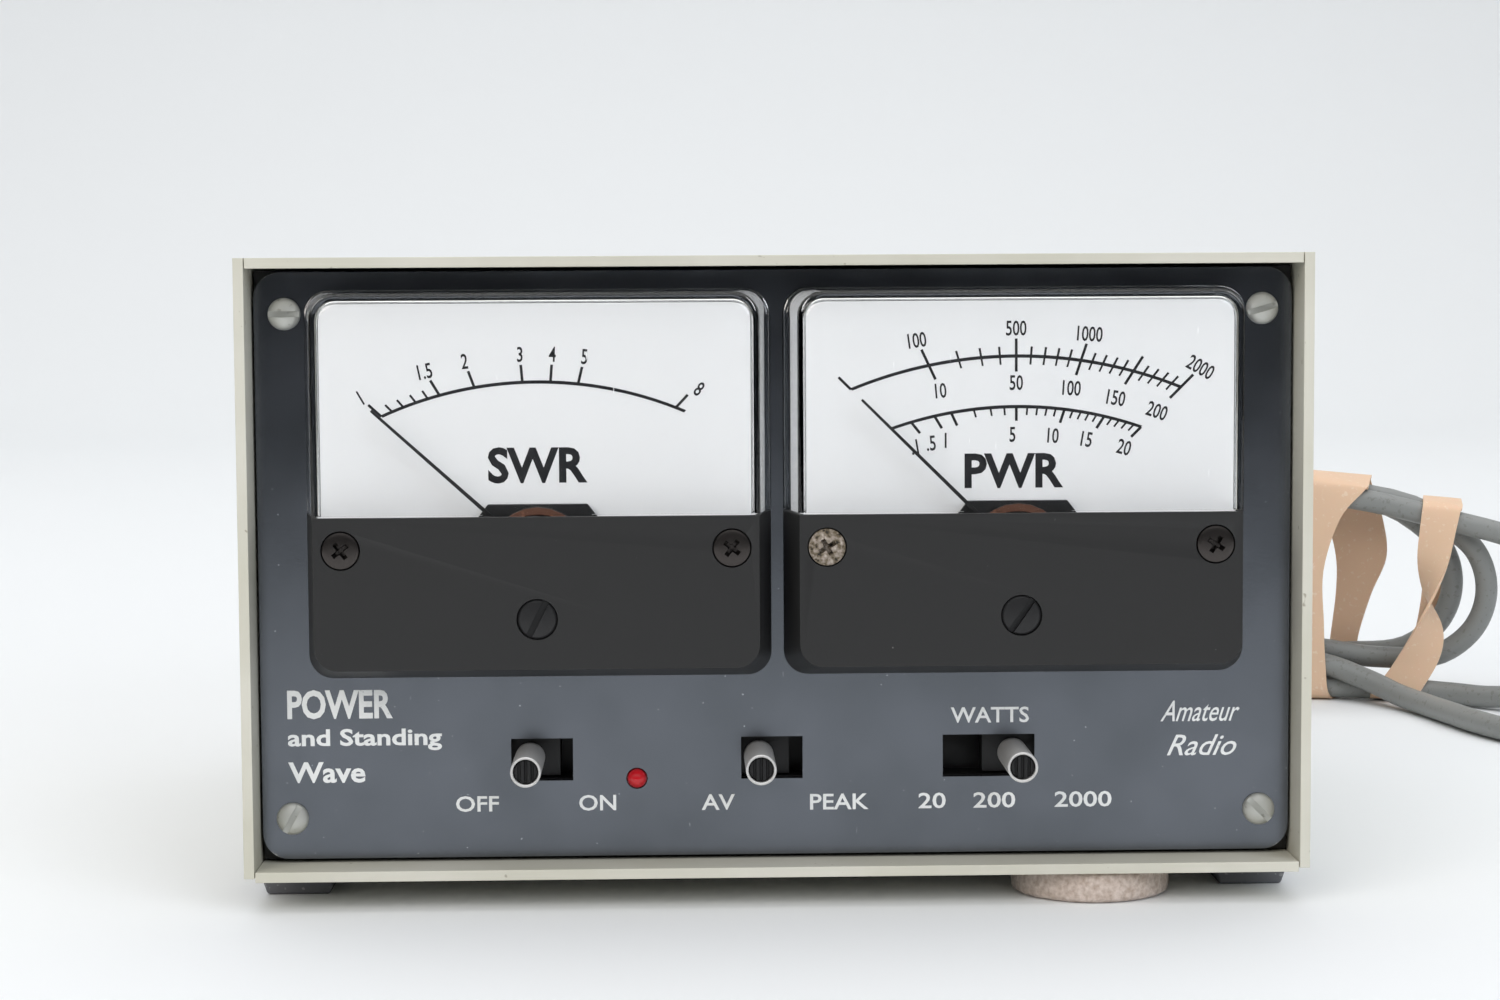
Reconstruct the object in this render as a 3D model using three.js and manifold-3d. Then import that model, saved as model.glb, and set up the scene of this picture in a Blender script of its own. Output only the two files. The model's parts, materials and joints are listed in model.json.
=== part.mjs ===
// A desk-top SWR and power meter: a sheet-metal case with two panel meters, three slide switches,
// a power lamp, a circuit board with its battery, and the lead to its remote sensor.
// Millimetres. +X is to the right as the user sees the front, +Y runs from front to back, +Z is up.
// The origin is on the table, in the middle of the case and its knobs.
import * as THREE from "three";
import { mergeVertices } from "three/addons/utils/BufferGeometryUtils.js";
import Module from "manifold-3d";

const wasm = await Module();
wasm.setup();

// ---- Driving dimensions ----

const caseWidth = 165.1;
const caseHeight = 96;
const caseDepth = 152.4;
const sheet = 1.6;
const footHeight = 5;
const seam = 0.15; // between two sheets that meet
const gap = 0.3; // between a piece and the one it rests on or is cut by
const panelRecess = 7.2; // from the case's front edge back to the panel's face
const knobReach = 12; // from the panel's face forward to the knobs' ends
const panelWidth = 161;
const panelHeight = 91.5;
const panelRadius = 4;

const caseBottom = footHeight;
const caseTop = caseBottom + caseHeight;
const halfWidth = caseWidth / 2;
const insideHalf = halfWidth - sheet;
const knobProud = knobReach - panelRecess; // how far the knobs stand out of the case
const frontY = -(caseDepth - knobProud) / 2;
const backY = frontY + caseDepth;
const panelY = frontY + panelRecess;
const panelBottom = caseBottom + 2.3;

const coverBack = 0.2; // the meter covers' rims stop this far in front of the panel
const coverProud = 11; // from the panel's face forward to the meter covers' faces
const coverWall = 1;
const pivotZ = caseBottom + 50; // the height of the needles' pivots
const needleLength = 33.9;
const borderHeight = 6.7; // where window meets lower cover, above the pivot
const barrelRadius = 17;

const cordDiameter = 5;
const sides = [
  { side: -1, sideName: "left" },
  { side: 1, sideName: "right" },
];

// ---- Making and joining solids ----

const roundSteps = 24;

function toSolid(geometry) {
  const bare = geometry.clone();
  bare.deleteAttribute("normal");
  bare.deleteAttribute("uv");
  const welded = mergeVertices(bare, 1e-4);
  return new wasm.Manifold(
    new wasm.Mesh({
      numProp: 3,
      vertProperties: new Float32Array(welded.attributes.position.array),
      triVerts: new Uint32Array(welded.index.array),
    }),
  );
}

function toGeometry(solid) {
  const mesh = solid.getMesh();
  const geometry = new THREE.BufferGeometry();
  geometry.setAttribute("position", new THREE.BufferAttribute(mesh.vertProperties, 3));
  geometry.setIndex(new THREE.BufferAttribute(mesh.triVerts, 1));
  geometry.computeVertexNormals();
  return geometry;
}

function join(...geometries) {
  return toGeometry(geometries.map(toSolid).reduce((all, next) => all.add(next)));
}

function cut(geometry, ...tools) {
  return toGeometry(tools.map(toSolid).reduce((rest, tool) => rest.subtract(tool), toSolid(geometry)));
}

function common(geometry, other) {
  return toGeometry(toSolid(geometry).intersect(toSolid(other)));
}

// ---- Basic forms ----

// A box between two opposite corners.
function block([x0, y0, z0], [x1, y1, z1]) {
  const box = new THREE.BoxGeometry(x1 - x0, y1 - y0, z1 - z0);
  return box.translate((x0 + x1) / 2, (y0 + y1) / 2, (z0 + z1) / 2);
}

// A round bar along Y, from y0 to y1, with its axis at x, z.
function rod(radius, y0, y1, x = 0, z = 0, steps = roundSteps) {
  const bar = new THREE.CylinderGeometry(radius, radius, y1 - y0, steps);
  return bar.translate(x, (y0 + y1) / 2, z);
}

// An outline drawn in X and Z, made solid from y0 back to y1.
function slab(outline, y0, y1, curveSegments = 5) {
  const body = new THREE.ExtrudeGeometry(outline, { depth: y1 - y0, bevelEnabled: false, curveSegments });
  return body.rotateX(Math.PI / 2).translate(0, y1, 0);
}

function roundedRectangle(left, right, bottom, top, radius) {
  const outline = new THREE.Shape();
  outline.absarc(right - radius, bottom + radius, radius, -Math.PI / 2, 0);
  outline.absarc(right - radius, top - radius, radius, 0, Math.PI / 2);
  outline.absarc(left + radius, top - radius, radius, Math.PI / 2, Math.PI);
  outline.absarc(left + radius, bottom + radius, radius, Math.PI, 1.5 * Math.PI);
  outline.closePath();
  return outline;
}

const swrMeter = new THREE.Group();

// Adds a named piece with a material of its own.
function piece(name, geometry, finish, parent = swrMeter) {
  const mesh = new THREE.Mesh(geometry, new THREE.MeshStandardMaterial(finish));
  mesh.name = name;
  parent.add(mesh);
  return mesh;
}

const finishes = {
  casePaint: { color: 0xcdccbe, roughness: 0.55, metalness: 0 },
  panelPaint: { color: 0x4c5158, roughness: 0.35, metalness: 0 },
  blackSteel: { color: 0x141414, roughness: 0.6, metalness: 0 },
  zincPlate: { color: 0xa9aba6, roughness: 0.35, metalness: 1 },
  rubber: { color: 0x3b3d42, roughness: 0.8, metalness: 0 },
  felt: { color: 0xcdc0b8, roughness: 1, metalness: 0 },
  phenolic: { color: 0x1c1c1c, roughness: 0.5, metalness: 0 },
  mattBlack: { color: 0x303031, roughness: 0.7, metalness: 0 },
  clearPlastic: { color: 0xf4f6f8, roughness: 0.05, metalness: 0, transparent: true, opacity: 0.25 },
  dialPaint: { color: 0xe4e4e6, roughness: 0.6, metalness: 0 },
  magnetSteel: { color: 0x8b8d90, roughness: 0.4, metalness: 1 },
  copperWire: { color: 0xa3592c, roughness: 0.4, metalness: 1 },
  blackEnamel: { color: 0x171717, roughness: 0.5, metalness: 0 },
  brushedTube: { color: 0xb9bab8, roughness: 0.3, metalness: 1 },
  redLens: { color: 0xd0202a, roughness: 0.15, metalness: 0 },
  boardLaminate: { color: 0x2f6b3a, roughness: 0.5, metalness: 0 },
  batteryCan: { color: 0x30343a, roughness: 0.4, metalness: 1 },
  cordJacket: { color: 0x8a8c8c, roughness: 0.5, metalness: 0 },
  plugNickel: { color: 0xb4b5b2, roughness: 0.3, metalness: 1 },
  bandRubber: { color: 0xdcb999, roughness: 0.7, metalness: 0 },
};

// ---- Case ----

const flangeDepth = 10;
const flangeFront = frontY + 22; // the flanges start behind the front frame
const flangeBack = backY - 6;
const flangeOuter = insideHalf - seam;
const sideScrewInset = 6; // a side screw's height below the top face
const sideScrewHole = 1.7;
const sideScrewY = [frontY + 38, backY - 30];
const reliefX = -45;
const reliefZ = 34;
const reliefHole = 4.9;

function flange(side, z0, z1) {
  const outer = side * flangeOuter;
  const inner = side * (flangeOuter - sheet);
  return block(
    [Math.min(outer, inner), flangeFront, z0],
    [Math.max(outer, inner), flangeBack, z1],
  );
}

// Clearance holes for the side screws, through everything at the case's two sides.
function sideScrewHoles() {
  return sideScrewY.map((y) => {
    const drill = new THREE.CylinderGeometry(sideScrewHole, sideScrewHole, caseWidth + 10, 16);
    return drill.rotateZ(Math.PI / 2).translate(0, y, caseTop - sideScrewInset);
  });
}

// The floor and the rear wall are one bent sheet, with a flange up each side and four pressed-in
// standoffs that carry the circuit board.
const boardBottom = 15.8;
const boardThickness = 1.6;
const boardHalfWidth = 62;
const boardFront = frontY + 16;
const boardBack = frontY + 92;
const standoffInset = 6;
const standoffRadius = 3;

function chassisPan() {
  const floorTop = caseBottom + sheet;
  const floor = block([-flangeOuter, frontY, caseBottom], [flangeOuter, backY, floorTop]);
  const wallTop = caseTop - sheet - seam;
  const wall = block([-flangeOuter, backY - sheet, caseBottom], [flangeOuter, backY, wallTop]);
  const flanges = sides.map(({ side }) => flange(side, caseBottom, caseBottom + flangeDepth));
  const standoffs = [];
  const standoffTop = boardBottom - gap;
  for (const { side } of sides) {
    const x = side * (boardHalfWidth - standoffInset);
    for (const y of [boardFront + standoffInset, boardBack - standoffInset]) {
      const post = new THREE.CylinderGeometry(standoffRadius, standoffRadius, standoffTop - caseBottom, 12);
      standoffs.push(post.rotateX(Math.PI / 2).translate(x, y, (standoffTop + caseBottom) / 2));
    }
  }
  const reliefDrill = rod(reliefHole, backY - sheet - 1, backY + 1, reliefX, reliefZ);
  return cut(join(floor, wall, ...flanges, ...standoffs), reliefDrill);
}

function topCover() {
  const plate = block([-flangeOuter, frontY, caseTop - sheet], [flangeOuter, backY, caseTop]);
  const flanges = sides.map(({ side }) => flange(side, caseTop - flangeDepth, caseTop));
  return cut(join(plate, ...flanges), ...sideScrewHoles());
}

const sidePanelRise = 0.6; // the side panels stop this far above the pan's underside

function sidePanel(side) {
  const inner = side * insideHalf;
  const outer = side * halfWidth;
  const plate = block(
    [Math.min(inner, outer), frontY, caseBottom + sidePanelRise],
    [Math.max(inner, outer), backY, caseTop],
  );
  return cut(plate, ...sideScrewHoles());
}

piece("chassis_pan", chassisPan(), finishes.casePaint);
piece("top_cover", topCover(), finishes.casePaint);
piece("left_side_panel", sidePanel(-1), finishes.casePaint);
piece("right_side_panel", sidePanel(1), finishes.casePaint);

// ---- Screws ----

// A slotted screw with a domed head, driven along +Y. Its head rests on y = 0, and the slot leans
// by an angle from level.
function slottedScrew(headRadius, headHeight, shankRadius, length, slotAngle) {
  const slotWidth = headRadius * 0.36;
  const slotDepth = headHeight * 0.55;
  const dome = new THREE.LatheGeometry(
    [
      new THREE.Vector2(0, 0),
      new THREE.Vector2(headRadius, 0),
      new THREE.Vector2(headRadius, headHeight * 0.35),
      new THREE.Vector2(headRadius * 0.84, headHeight * 0.72),
      new THREE.Vector2(headRadius * 0.5, headHeight * 0.94),
      new THREE.Vector2(0, headHeight),
    ],
    16,
  ).rotateX(Math.PI);
  const shank = rod(shankRadius, -headHeight / 2, length, 0, 0, 12);
  const slot = block(
    [-headRadius - 1, -headHeight - 1, -slotWidth / 2],
    [headRadius + 1, -headHeight + slotDepth, slotWidth / 2],
  ).rotateY(-THREE.MathUtils.degToRad(slotAngle));
  return cut(join(dome, shank), slot);
}

const panelThickness = 1.6;
const panelScrewHole = 1.7;
const panelScrews = [
  { name: "panel_screw_top_left", x: -75.8, z: 87.4, slotAngle: 0 },
  { name: "panel_screw_top_right", x: 75.8, z: 87.4, slotAngle: 16 },
  { name: "panel_screw_bottom_left", x: -75.8, z: 8.7, slotAngle: 60 },
  { name: "panel_screw_bottom_right", x: 75.8, z: 8.7, slotAngle: -45 },
];

for (const { name, x, z, slotAngle } of panelScrews) {
  const screw = piece(name, slottedScrew(2.5, 1.7, 1.35, 5, slotAngle), finishes.zincPlate);
  screw.position.set(x, panelY - 0.05, caseBottom + z);
}

for (const { side, sideName } of sides) {
  sideScrewY.forEach((y, index) => {
    const name = `side_screw_${sideName}_${index ? "back" : "front"}`;
    const screw = piece(name, slottedScrew(2.6, 1.5, 1.35, 6, 30 * (index + 1)), finishes.zincPlate);
    screw.position.set(side * (halfWidth + 0.05), y, caseTop - sideScrewInset);
    screw.rotation.z = side * (Math.PI / 2);
  });
}

// ---- Front panel and the frame that it is screwed to ----

const meterX = [-36.8, 37.1];
const slotHeight = 6.6;
const switches = [
  { name: "power_switch", x: -36.8, slotWidth: 9.6, positions: 2, at: 0 },
  { name: "average_peak_switch", x: -0.85, slotWidth: 9.6, positions: 2, at: 0 },
  { name: "range_switch", x: 33.2, slotWidth: 14.4, positions: 3, at: 2 },
];
const switchZ = caseBottom + 17.6;
const switchPitch = 4; // from one position to the next
const lamp = { x: -22, z: caseBottom + 14.5, radius: 1.5 };
const clearance = 0.4;

function frontPanel() {
  const outline = roundedRectangle(
    -panelWidth / 2,
    panelWidth / 2,
    panelBottom,
    panelBottom + panelHeight,
    panelRadius,
  );
  const y0 = panelY - 1;
  const y1 = panelY + panelThickness + 1;
  const cuts = [
    ...meterX.map((x) => rod(barrelRadius + clearance, y0, y1, x, pivotZ, 32)),
    ...panelScrews.map(({ x, z }) => rod(panelScrewHole, y0, y1, x, caseBottom + z, 12)),
    ...switches.map(({ x, slotWidth }) =>
      block([-slotWidth / 2, y0, -slotHeight / 2], [slotWidth / 2, y1, slotHeight / 2]).translate(x, 0, switchZ),
    ),
    rod(lamp.radius + 0.15, y0, y1, lamp.x, lamp.z, 20),
  ];
  return cut(slab(outline, panelY, panelY + panelThickness), ...cuts);
}

// A sheet-metal picture frame with a lip bent back all round.
function frontFrame() {
  const left = -(insideHalf - gap);
  const right = insideHalf - gap;
  const bottom = caseBottom + sheet + gap;
  const top = caseTop - sheet - gap;
  const thickness = 1.2;
  const stile = 10; // the width of the upright sides
  const rail = 8.2; // the height of the bars above and below
  const lipDepth = 8;
  const y0 = panelY + panelThickness + gap;
  const y1 = y0 + thickness;
  const face = block([left, y0, bottom], [right, y1, top]);
  const window = block([left + stile, y0 - 1, bottom + rail], [right - stile, y1 + 1, top - rail]);
  const lip = cut(
    block([left, y0, bottom], [right, y0 + lipDepth, top]),
    block(
      [left + thickness, y0 - 1, bottom + thickness],
      [right - thickness, y0 + lipDepth + 1, top - thickness],
    ),
  );
  const drills = panelScrews.map(({ x, z }) => rod(panelScrewHole, y0 - 1, y1 + 1, x, caseBottom + z, 12));
  return cut(join(cut(face, window), lip), ...drills);
}

piece("front_panel", frontPanel(), finishes.panelPaint);
piece("front_frame", frontFrame(), finishes.blackSteel);

// ---- Feet ----

const footTop = 12.7;
const footBase = 10;
const footInset = 6.4; // from the case's side to the middle of a foot
const footFront = frontY + 20;
const footBack = backY - 20;

const padHeight = footHeight - 0.1; // of the feet and the felt, which are glued below the pan

// A four-sided taper with its small face on the table.
function foot() {
  const diagonal = Math.SQRT1_2;
  const taper = new THREE.CylinderGeometry(footTop * diagonal, footBase * diagonal, padHeight, 4);
  return taper.rotateY(Math.PI / 4).rotateX(Math.PI / 2).translate(0, 0, padHeight / 2);
}

for (const { side, sideName } of sides) {
  for (const [y, endName] of [[footFront, "front"], [footBack, "back"]]) {
    const rubber = piece(`foot_${endName}_${sideName}`, foot(), finishes.rubber);
    rubber.position.set(side * (halfWidth - footInset), y, 0);
  }
}

const feltRadius = 12.7;
const feltX = 50;
const feltY = frontY + 13.5;
const felt = new THREE.CylinderGeometry(feltRadius, feltRadius, padHeight, 32);
felt.rotateX(Math.PI / 2).translate(0, 0, padHeight / 2);
piece("felt_pad", felt, finishes.felt).position.set(feltX, feltY, 0);

// ---- Panel meters ----
// Each meter is a group whose origin is where the needle's pivot crosses the panel's face.

const cover = {
  back: { half: 36, bottom: -19.25, top: 41 },
  face: { half: 33.9, bottom: -16.8, top: 40.4 },
  radius: 3.8,
};

// The cover's edge at a depth y, moved inwards by an inset.
function coverEdge(y, inset = 0) {
  const share = (y + coverProud) / (coverProud - coverBack);
  const between = (a, b) => a + (b - a) * share;
  return {
    half: between(cover.face.half, cover.back.half) - inset,
    bottom: between(cover.face.bottom, cover.back.bottom) + inset,
    top: between(cover.face.top, cover.back.top) - inset,
  };
}

// A rounded block that widens towards the panel as the cover does.
function coverForm(y0, y1, inset, radius) {
  const back = coverEdge(-coverBack, inset);
  const outline = roundedRectangle(-back.half, back.half, back.bottom, back.top, radius);
  const form = slab(outline, y0, y1);
  const place = form.attributes.position;
  for (let i = 0; i < place.count; i += 1) {
    const edge = coverEdge(place.getY(i), inset);
    const rise = (place.getZ(i) - back.bottom) / (back.top - back.bottom);
    place.setX(i, (place.getX(i) * edge.half) / back.half);
    place.setZ(i, edge.bottom + rise * (edge.top - edge.bottom));
  }
  return form;
}

const coverScrewX = 29.7; // each side of the pivot
const coverScrewPlaces = [-coverScrewX, coverScrewX];
const coverScrewZ = 1.6;
const coverScrewBore = 1.6;
const coverScrewRadius = 2.8;
const zeroScrewZ = -9.1;
const zeroScrewRadius = 3;
const coverFace = -coverProud;
const coverInside = coverFace + coverWall;
const dialFace = -3.6;
const dialThickness = 0.8;
const needleFace = -6.8;
const needleThickness = 0.4;
const bridgeFace = -5.6;
const bridgeThickness = 1.2;
const bridgeHole = 6.5;
const bridgePostX = [-10.5, 10.5];
const dialHole = 7.2;
const housingFace = -2.2;
const yokeFront = 6;
const yokeBack = 22;
const coilHalf = 8;

function coverShell() {
  return cut(coverForm(coverFace, -coverBack, 0, cover.radius), coverForm(coverInside, 1, coverWall, 2.4));
}

function halfSpace(above, z) {
  const reach = 60;
  return above ? block([-reach, -20, z], [reach, 5, reach]) : block([-reach, -20, -reach], [reach, 5, z]);
}

function meterWindow() {
  return common(coverShell(), halfSpace(true, borderHeight + seam));
}

// The opaque lower half of the cover, with a boss behind each screw and a hole for the zero screw.
function lowerCover() {
  const shell = common(coverShell(), halfSpace(false, borderHeight - seam));
  const bossRadius = 4;
  const recessRadius = coverScrewRadius + 0.2;
  const at = coverScrewPlaces;
  const bosses = at.map((x) => rod(bossRadius, coverInside - 0.5, dialFace - 0.5, x, coverScrewZ, 20));
  const bores = at.map((x) => rod(coverScrewBore, coverFace - 1, 0, x, coverScrewZ, 12));
  const recesses = at.map((x) => rod(recessRadius, coverFace - 1, coverFace + 1.5, x, coverScrewZ));
  const zeroHole = rod(zeroScrewRadius + 0.15, coverFace - 1, coverInside + 1, 0, zeroScrewZ);
  return cut(join(shell, ...bosses), ...bores, ...recesses, zeroHole);
}

function dialPlate() {
  const edge = coverEdge(dialFace, coverWall + 0.2);
  const outline = roundedRectangle(-edge.half, edge.half, -12, edge.top, 2);
  const y0 = dialFace - 1;
  const y1 = dialFace + dialThickness + 1;
  return cut(
    slab(outline, dialFace, dialFace + dialThickness),
    rod(dialHole, y0, y1),
    ...bridgePostX.map((x) => rod(1.7, y0, y1, x, 0, 12)),
    ...coverScrewPlaces.map((x) => rod(2, y0, y1, x, coverScrewZ, 12)),
    rod(zeroScrewRadius + 1.6, y0, y1, 0, zeroScrewZ),
  );
}

// The moulded body: a flange inside the cover's rim, and a barrel through the panel.
function meterHousing() {
  const edge = coverEdge(housingFace, coverWall + gap);
  const outline = roundedRectangle(-edge.half, edge.half, edge.bottom, edge.top, 2);
  const barrelDepth = 27;
  const barrelWall = 1.6;
  return cut(
    join(slab(outline, housingFace, -coverBack), rod(barrelRadius, -coverBack, barrelDepth, 0, 0, 32)),
    rod(barrelRadius - barrelWall, -5, barrelDepth - 2, 0, 0, 32),
    ...coverScrewPlaces.map((x) => rod(coverScrewBore, -5, 1, x, coverScrewZ, 12)),
  );
}

// The bridge carries the front bearing. Its top edge is straight and its sides lean outwards, and
// a raised fibre ring surrounds the staff.
function movementBridge() {
  const top = 8.1;
  const topHalf = 7.65;
  const baseHalf = 13.9;
  const outline = new THREE.Shape();
  outline.moveTo(-baseHalf, -6);
  outline.lineTo(baseHalf, -6);
  outline.lineTo(baseHalf, 0);
  outline.lineTo(topHalf, top);
  outline.lineTo(-topHalf, top);
  outline.lineTo(-baseHalf, 0);
  outline.closePath();
  const plateBack = bridgeFace + bridgeThickness;
  const ringRadius = 7.7;
  const ring = rod(ringRadius, bridgeFace - 0.3, plateBack, 0, 0);
  const posts = bridgePostX.map((x) => rod(1.2, bridgeFace + 0.4, yokeFront - gap, x, 0, 12));
  return cut(join(slab(outline, bridgeFace, plateBack), ring, ...posts), rod(bridgeHole, -8, plateBack + 1));
}

// The magnet's ring and its soft-iron core, joined above and below by webs that stay clear of the
// coil as it turns.
function magnetYoke() {
  const coreRadius = 5;
  const boreRadius = 8.7;
  const reach = THREE.MathUtils.degToRad(62);
  const outline = new THREE.Shape();
  outline.absarc(0, 0, barrelRadius - 2, 0, 2 * Math.PI);
  for (const middle of [0, Math.PI]) {
    const kidney = new THREE.Path();
    kidney.absarc(0, 0, boreRadius, middle - reach, middle + reach, false);
    kidney.absarc(0, 0, coreRadius, middle + reach, middle - reach, true);
    kidney.closePath();
    outline.holes.push(kidney);
  }
  return slab(outline, yokeFront, yokeBack, 14);
}

// A rectangular winding around the core, with its width along local X.
function movingCoil() {
  const wire = 2;
  const half = wire / 2;
  const y0 = yokeFront - 2.2;
  const y1 = yokeBack + 2.2;
  return cut(
    block([-coilHalf, y0, -half], [coilHalf, y1, half]),
    block([-coilHalf + wire, y0 + 1.9, -wire], [coilHalf - wire, y1 - 1.9, wire]),
  );
}

// The needle points along +Z when its angle is zero. A short tail balances it.
function needle() {
  const hubRadius = 2;
  const rootHalf = 0.34;
  const tipHalf = 0.2;
  const y0 = needleFace;
  const y1 = needleFace + needleThickness;
  const blade = new THREE.Shape();
  blade.moveTo(-rootHalf, 0);
  blade.lineTo(rootHalf, 0);
  blade.lineTo(tipHalf, needleLength);
  blade.lineTo(-tipHalf, needleLength);
  blade.closePath();
  const tail = block([-0.5, y0, -7], [0.5, y1, 0]);
  const weight = block([-1.3, y0 - 0.4, -7.5], [1.3, y1 + 0.2, -5.5]);
  const hub = rod(hubRadius, y0 - 0.5, y1 + 0.4, 0, 0, 16);
  const staff = rod(0.8, y0, yokeFront - 2.5, 0, 0, 12);
  return join(slab(blade, y0, y1), tail, weight, hub, staff);
}

function crossScrew(length) {
  const head = rod(coverScrewRadius, 0, 1.4, 0, 0, 20);
  const shank = rod(1.3, 1, length, 0, 0, 12);
  const blades = [0, Math.PI / 2].map((turn) =>
    block([-1.6, -1, -0.45], [1.6, 0.8, 0.45]).rotateY(turn + THREE.MathUtils.degToRad(40)),
  );
  return cut(join(head, shank), ...blades);
}

// A slotted adjuster held in the cover by its shoulder, with an off-centre pin at the back.
function zeroScrew() {
  const slotAngle = THREE.MathUtils.degToRad(63);
  const head = rod(zeroScrewRadius, coverFace - 0.2, coverInside + 1.2);
  const shoulder = rod(zeroScrewRadius + 0.9, coverInside + gap, coverInside + 1.2);
  const pin = rod(0.5, coverInside + 1, coverInside + 1.8, 0, 1.8, 8);
  const slot = block([-5, coverFace - 1, -0.45], [5, coverFace + 0.7, 0.45]).rotateY(-slotAngle);
  return cut(join(head, shoulder, pin), slot);
}

const coverScrewLength = 10.3;
const meters = [
  { name: "swr_meter", x: meterX[0], restAngle: 48 },
  { name: "power_meter", x: meterX[1], restAngle: 45.3 },
];

for (const { name, x, restAngle } of meters) {
  const meter = new THREE.Group();
  meter.position.set(x, panelY, pivotZ);
  swrMeter.add(meter);
  piece(`${name}_housing`, meterHousing(), finishes.phenolic, meter);
  piece(`${name}_magnet_yoke`, magnetYoke(), finishes.magnetSteel, meter);
  piece(`${name}_dial_plate`, dialPlate(), finishes.dialPaint, meter);
  piece(`${name}_bridge`, movementBridge(), finishes.blackEnamel, meter);
  piece(`${name}_window`, meterWindow(), finishes.clearPlastic, meter);
  piece(`${name}_lower_cover`, lowerCover(), finishes.mattBlack, meter);
  piece(`${name}_zero_screw`, zeroScrew(), finishes.phenolic, meter).position.z = zeroScrewZ;
  for (const { side, sideName } of sides) {
    const screw = piece(
      `${name}_cover_screw_${sideName}`,
      crossScrew(coverScrewLength),
      finishes.blackEnamel,
      meter,
    );
    screw.position.set(side * coverScrewX, coverFace, coverScrewZ);
  }
  const rotor = new THREE.Group();
  rotor.rotation.y = -THREE.MathUtils.degToRad(restAngle);
  meter.add(rotor);
  piece(`${name}_needle`, needle(), finishes.blackEnamel, rotor);
  piece(`${name}_coil`, movingCoil(), finishes.copperWire, rotor);
}

// ---- Slide switches ----
// Each switch is a group whose origin is in the middle of its slot, on the panel's face.

const knobRadius = 2.35;
const sleeveBore = 2;
const gripRadius = 1.8;
const sliderLength = 9.6;
const sliderHeight = 6;
const switchFront = panelThickness + 0.6;
const switchDepth = 8;

function switchBody(travel) {
  const halfSlot = (sliderLength + travel) / 2 + gap;
  const halfBody = halfSlot + 1.8;
  const back = switchFront + switchDepth;
  const cavityBack = switchFront + 5.4;
  const halfHeight = 4.6;
  const halfCavity = sliderHeight / 2 + gap;
  return cut(
    block([-halfBody, switchFront, -halfHeight], [halfBody, back, halfHeight]),
    block([-halfSlot, switchFront - 1, -halfCavity], [halfSlot, cavityBack, halfCavity]),
  );
}

// The shutter block slides in the body. Its stem ends in a face with three grooves.
function switchSlider() {
  const shutter = block(
    [-sliderLength / 2, switchFront + 0.6, -sliderHeight / 2],
    [sliderLength / 2, switchFront + 5, sliderHeight / 2],
  );
  const stem = rod(gripRadius, 0.4 - knobReach, switchFront + 1, 0, 0, 20);
  const grooves = [-1, 0, 1].map((step) =>
    block([step - 0.2, -knobReach - 1, -3], [step + 0.2, 0.8 - knobReach, 3]),
  );
  return cut(join(shutter, stem), ...grooves);
}

function knobSleeve() {
  const back = switchFront + 0.3;
  return cut(
    rod(knobRadius, -knobReach, back),
    rod(sleeveBore, -knobReach - 1, back + 1),
  );
}

for (const { name, x, positions, at } of switches) {
  const travel = (positions - 1) * switchPitch;
  const place = new THREE.Group();
  place.position.set(x, panelY, switchZ);
  swrMeter.add(place);
  piece(`${name}_body`, switchBody(travel), finishes.blackSteel, place);
  const slide = new THREE.Group();
  slide.position.x = at * switchPitch - travel / 2;
  place.add(slide);
  piece(`${name}_slider`, switchSlider(), finishes.blackEnamel, slide);
  piece(`${name}_knob_sleeve`, knobSleeve(), finishes.brushedTube, slide);
}

// ---- Lamp, circuit board and battery ----

// A domed lens with a rim behind the panel, and two leads bent down towards the board.
function powerLamp() {
  const lensBack = panelThickness + 2.4;
  const body = rod(lamp.radius, 0, lensBack, 0, 0, 20);
  const dome = new THREE.SphereGeometry(lamp.radius, 20, 10);
  const rim = rod(lamp.radius + 0.4, panelThickness + gap, panelThickness + 1.3, 0, 0, 20);
  const leads = [-1.2, 0.7].map((x) => block([x, lensBack - 1, -0.25], [x + 0.5, lensBack + 2.4, 0.25]));
  const lens = join(body, dome, rim);
  return join(lens, ...leads);
}

piece("power_lamp", powerLamp(), finishes.redLens).position.set(lamp.x, panelY, lamp.z);

const board = block(
  [-boardHalfWidth, boardFront, boardBottom],
  [boardHalfWidth, boardBack, boardBottom + boardThickness],
);
piece("circuit_board", board, finishes.boardLaminate);

const batteryLength = 48.5;
const batteryWidth = 26.5;
const batteryHeight = 17.5;
const battery = block([0, 0, 0], [batteryLength, batteryWidth, batteryHeight]);
const batteryX = -20;
const batteryY = boardBack + 14;
const batteryZ = caseBottom + sheet + 0.9;
piece("battery", battery, finishes.batteryCan).position.set(batteryX, batteryY, batteryZ);

// ---- Sensor lead ----
// The lead leaves the rear wall, runs along the table into a hank that stands on edge behind the
// case, and ends in the sensor plug on the table at the right.

const cordRadius = cordDiameter / 2;
const hankHeight = 53;
const hankThickness = 17;
const hankLeft = 24; // the hank's two ends, along its own length
const hankRight = 194;
const hankTurn = THREE.MathUtils.degToRad(-14);
const hankOrigin = new THREE.Vector3(0, backY + 107, 0);
const bandPlaces = [
  { name: "rubber_band_left", along: 137, width: 11 },
  { name: "rubber_band_right", along: 156, width: 8 },
];

const hank = new THREE.Group();
hank.position.copy(hankOrigin);
hank.rotation.z = hankTurn;
swrMeter.add(hank);

function hankForm(grow, left, right) {
  const half = hankHeight / 2;
  const radius = half - 0.5 + grow;
  const outline = new THREE.Shape();
  outline.absarc(right - half, half, radius, -Math.PI / 2, Math.PI / 2);
  outline.absarc(left + half, half, radius, Math.PI / 2, 1.5 * Math.PI);
  outline.closePath();
  return slab(outline, -hankThickness / 2 - grow, hankThickness / 2 + grow, 12);
}

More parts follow.
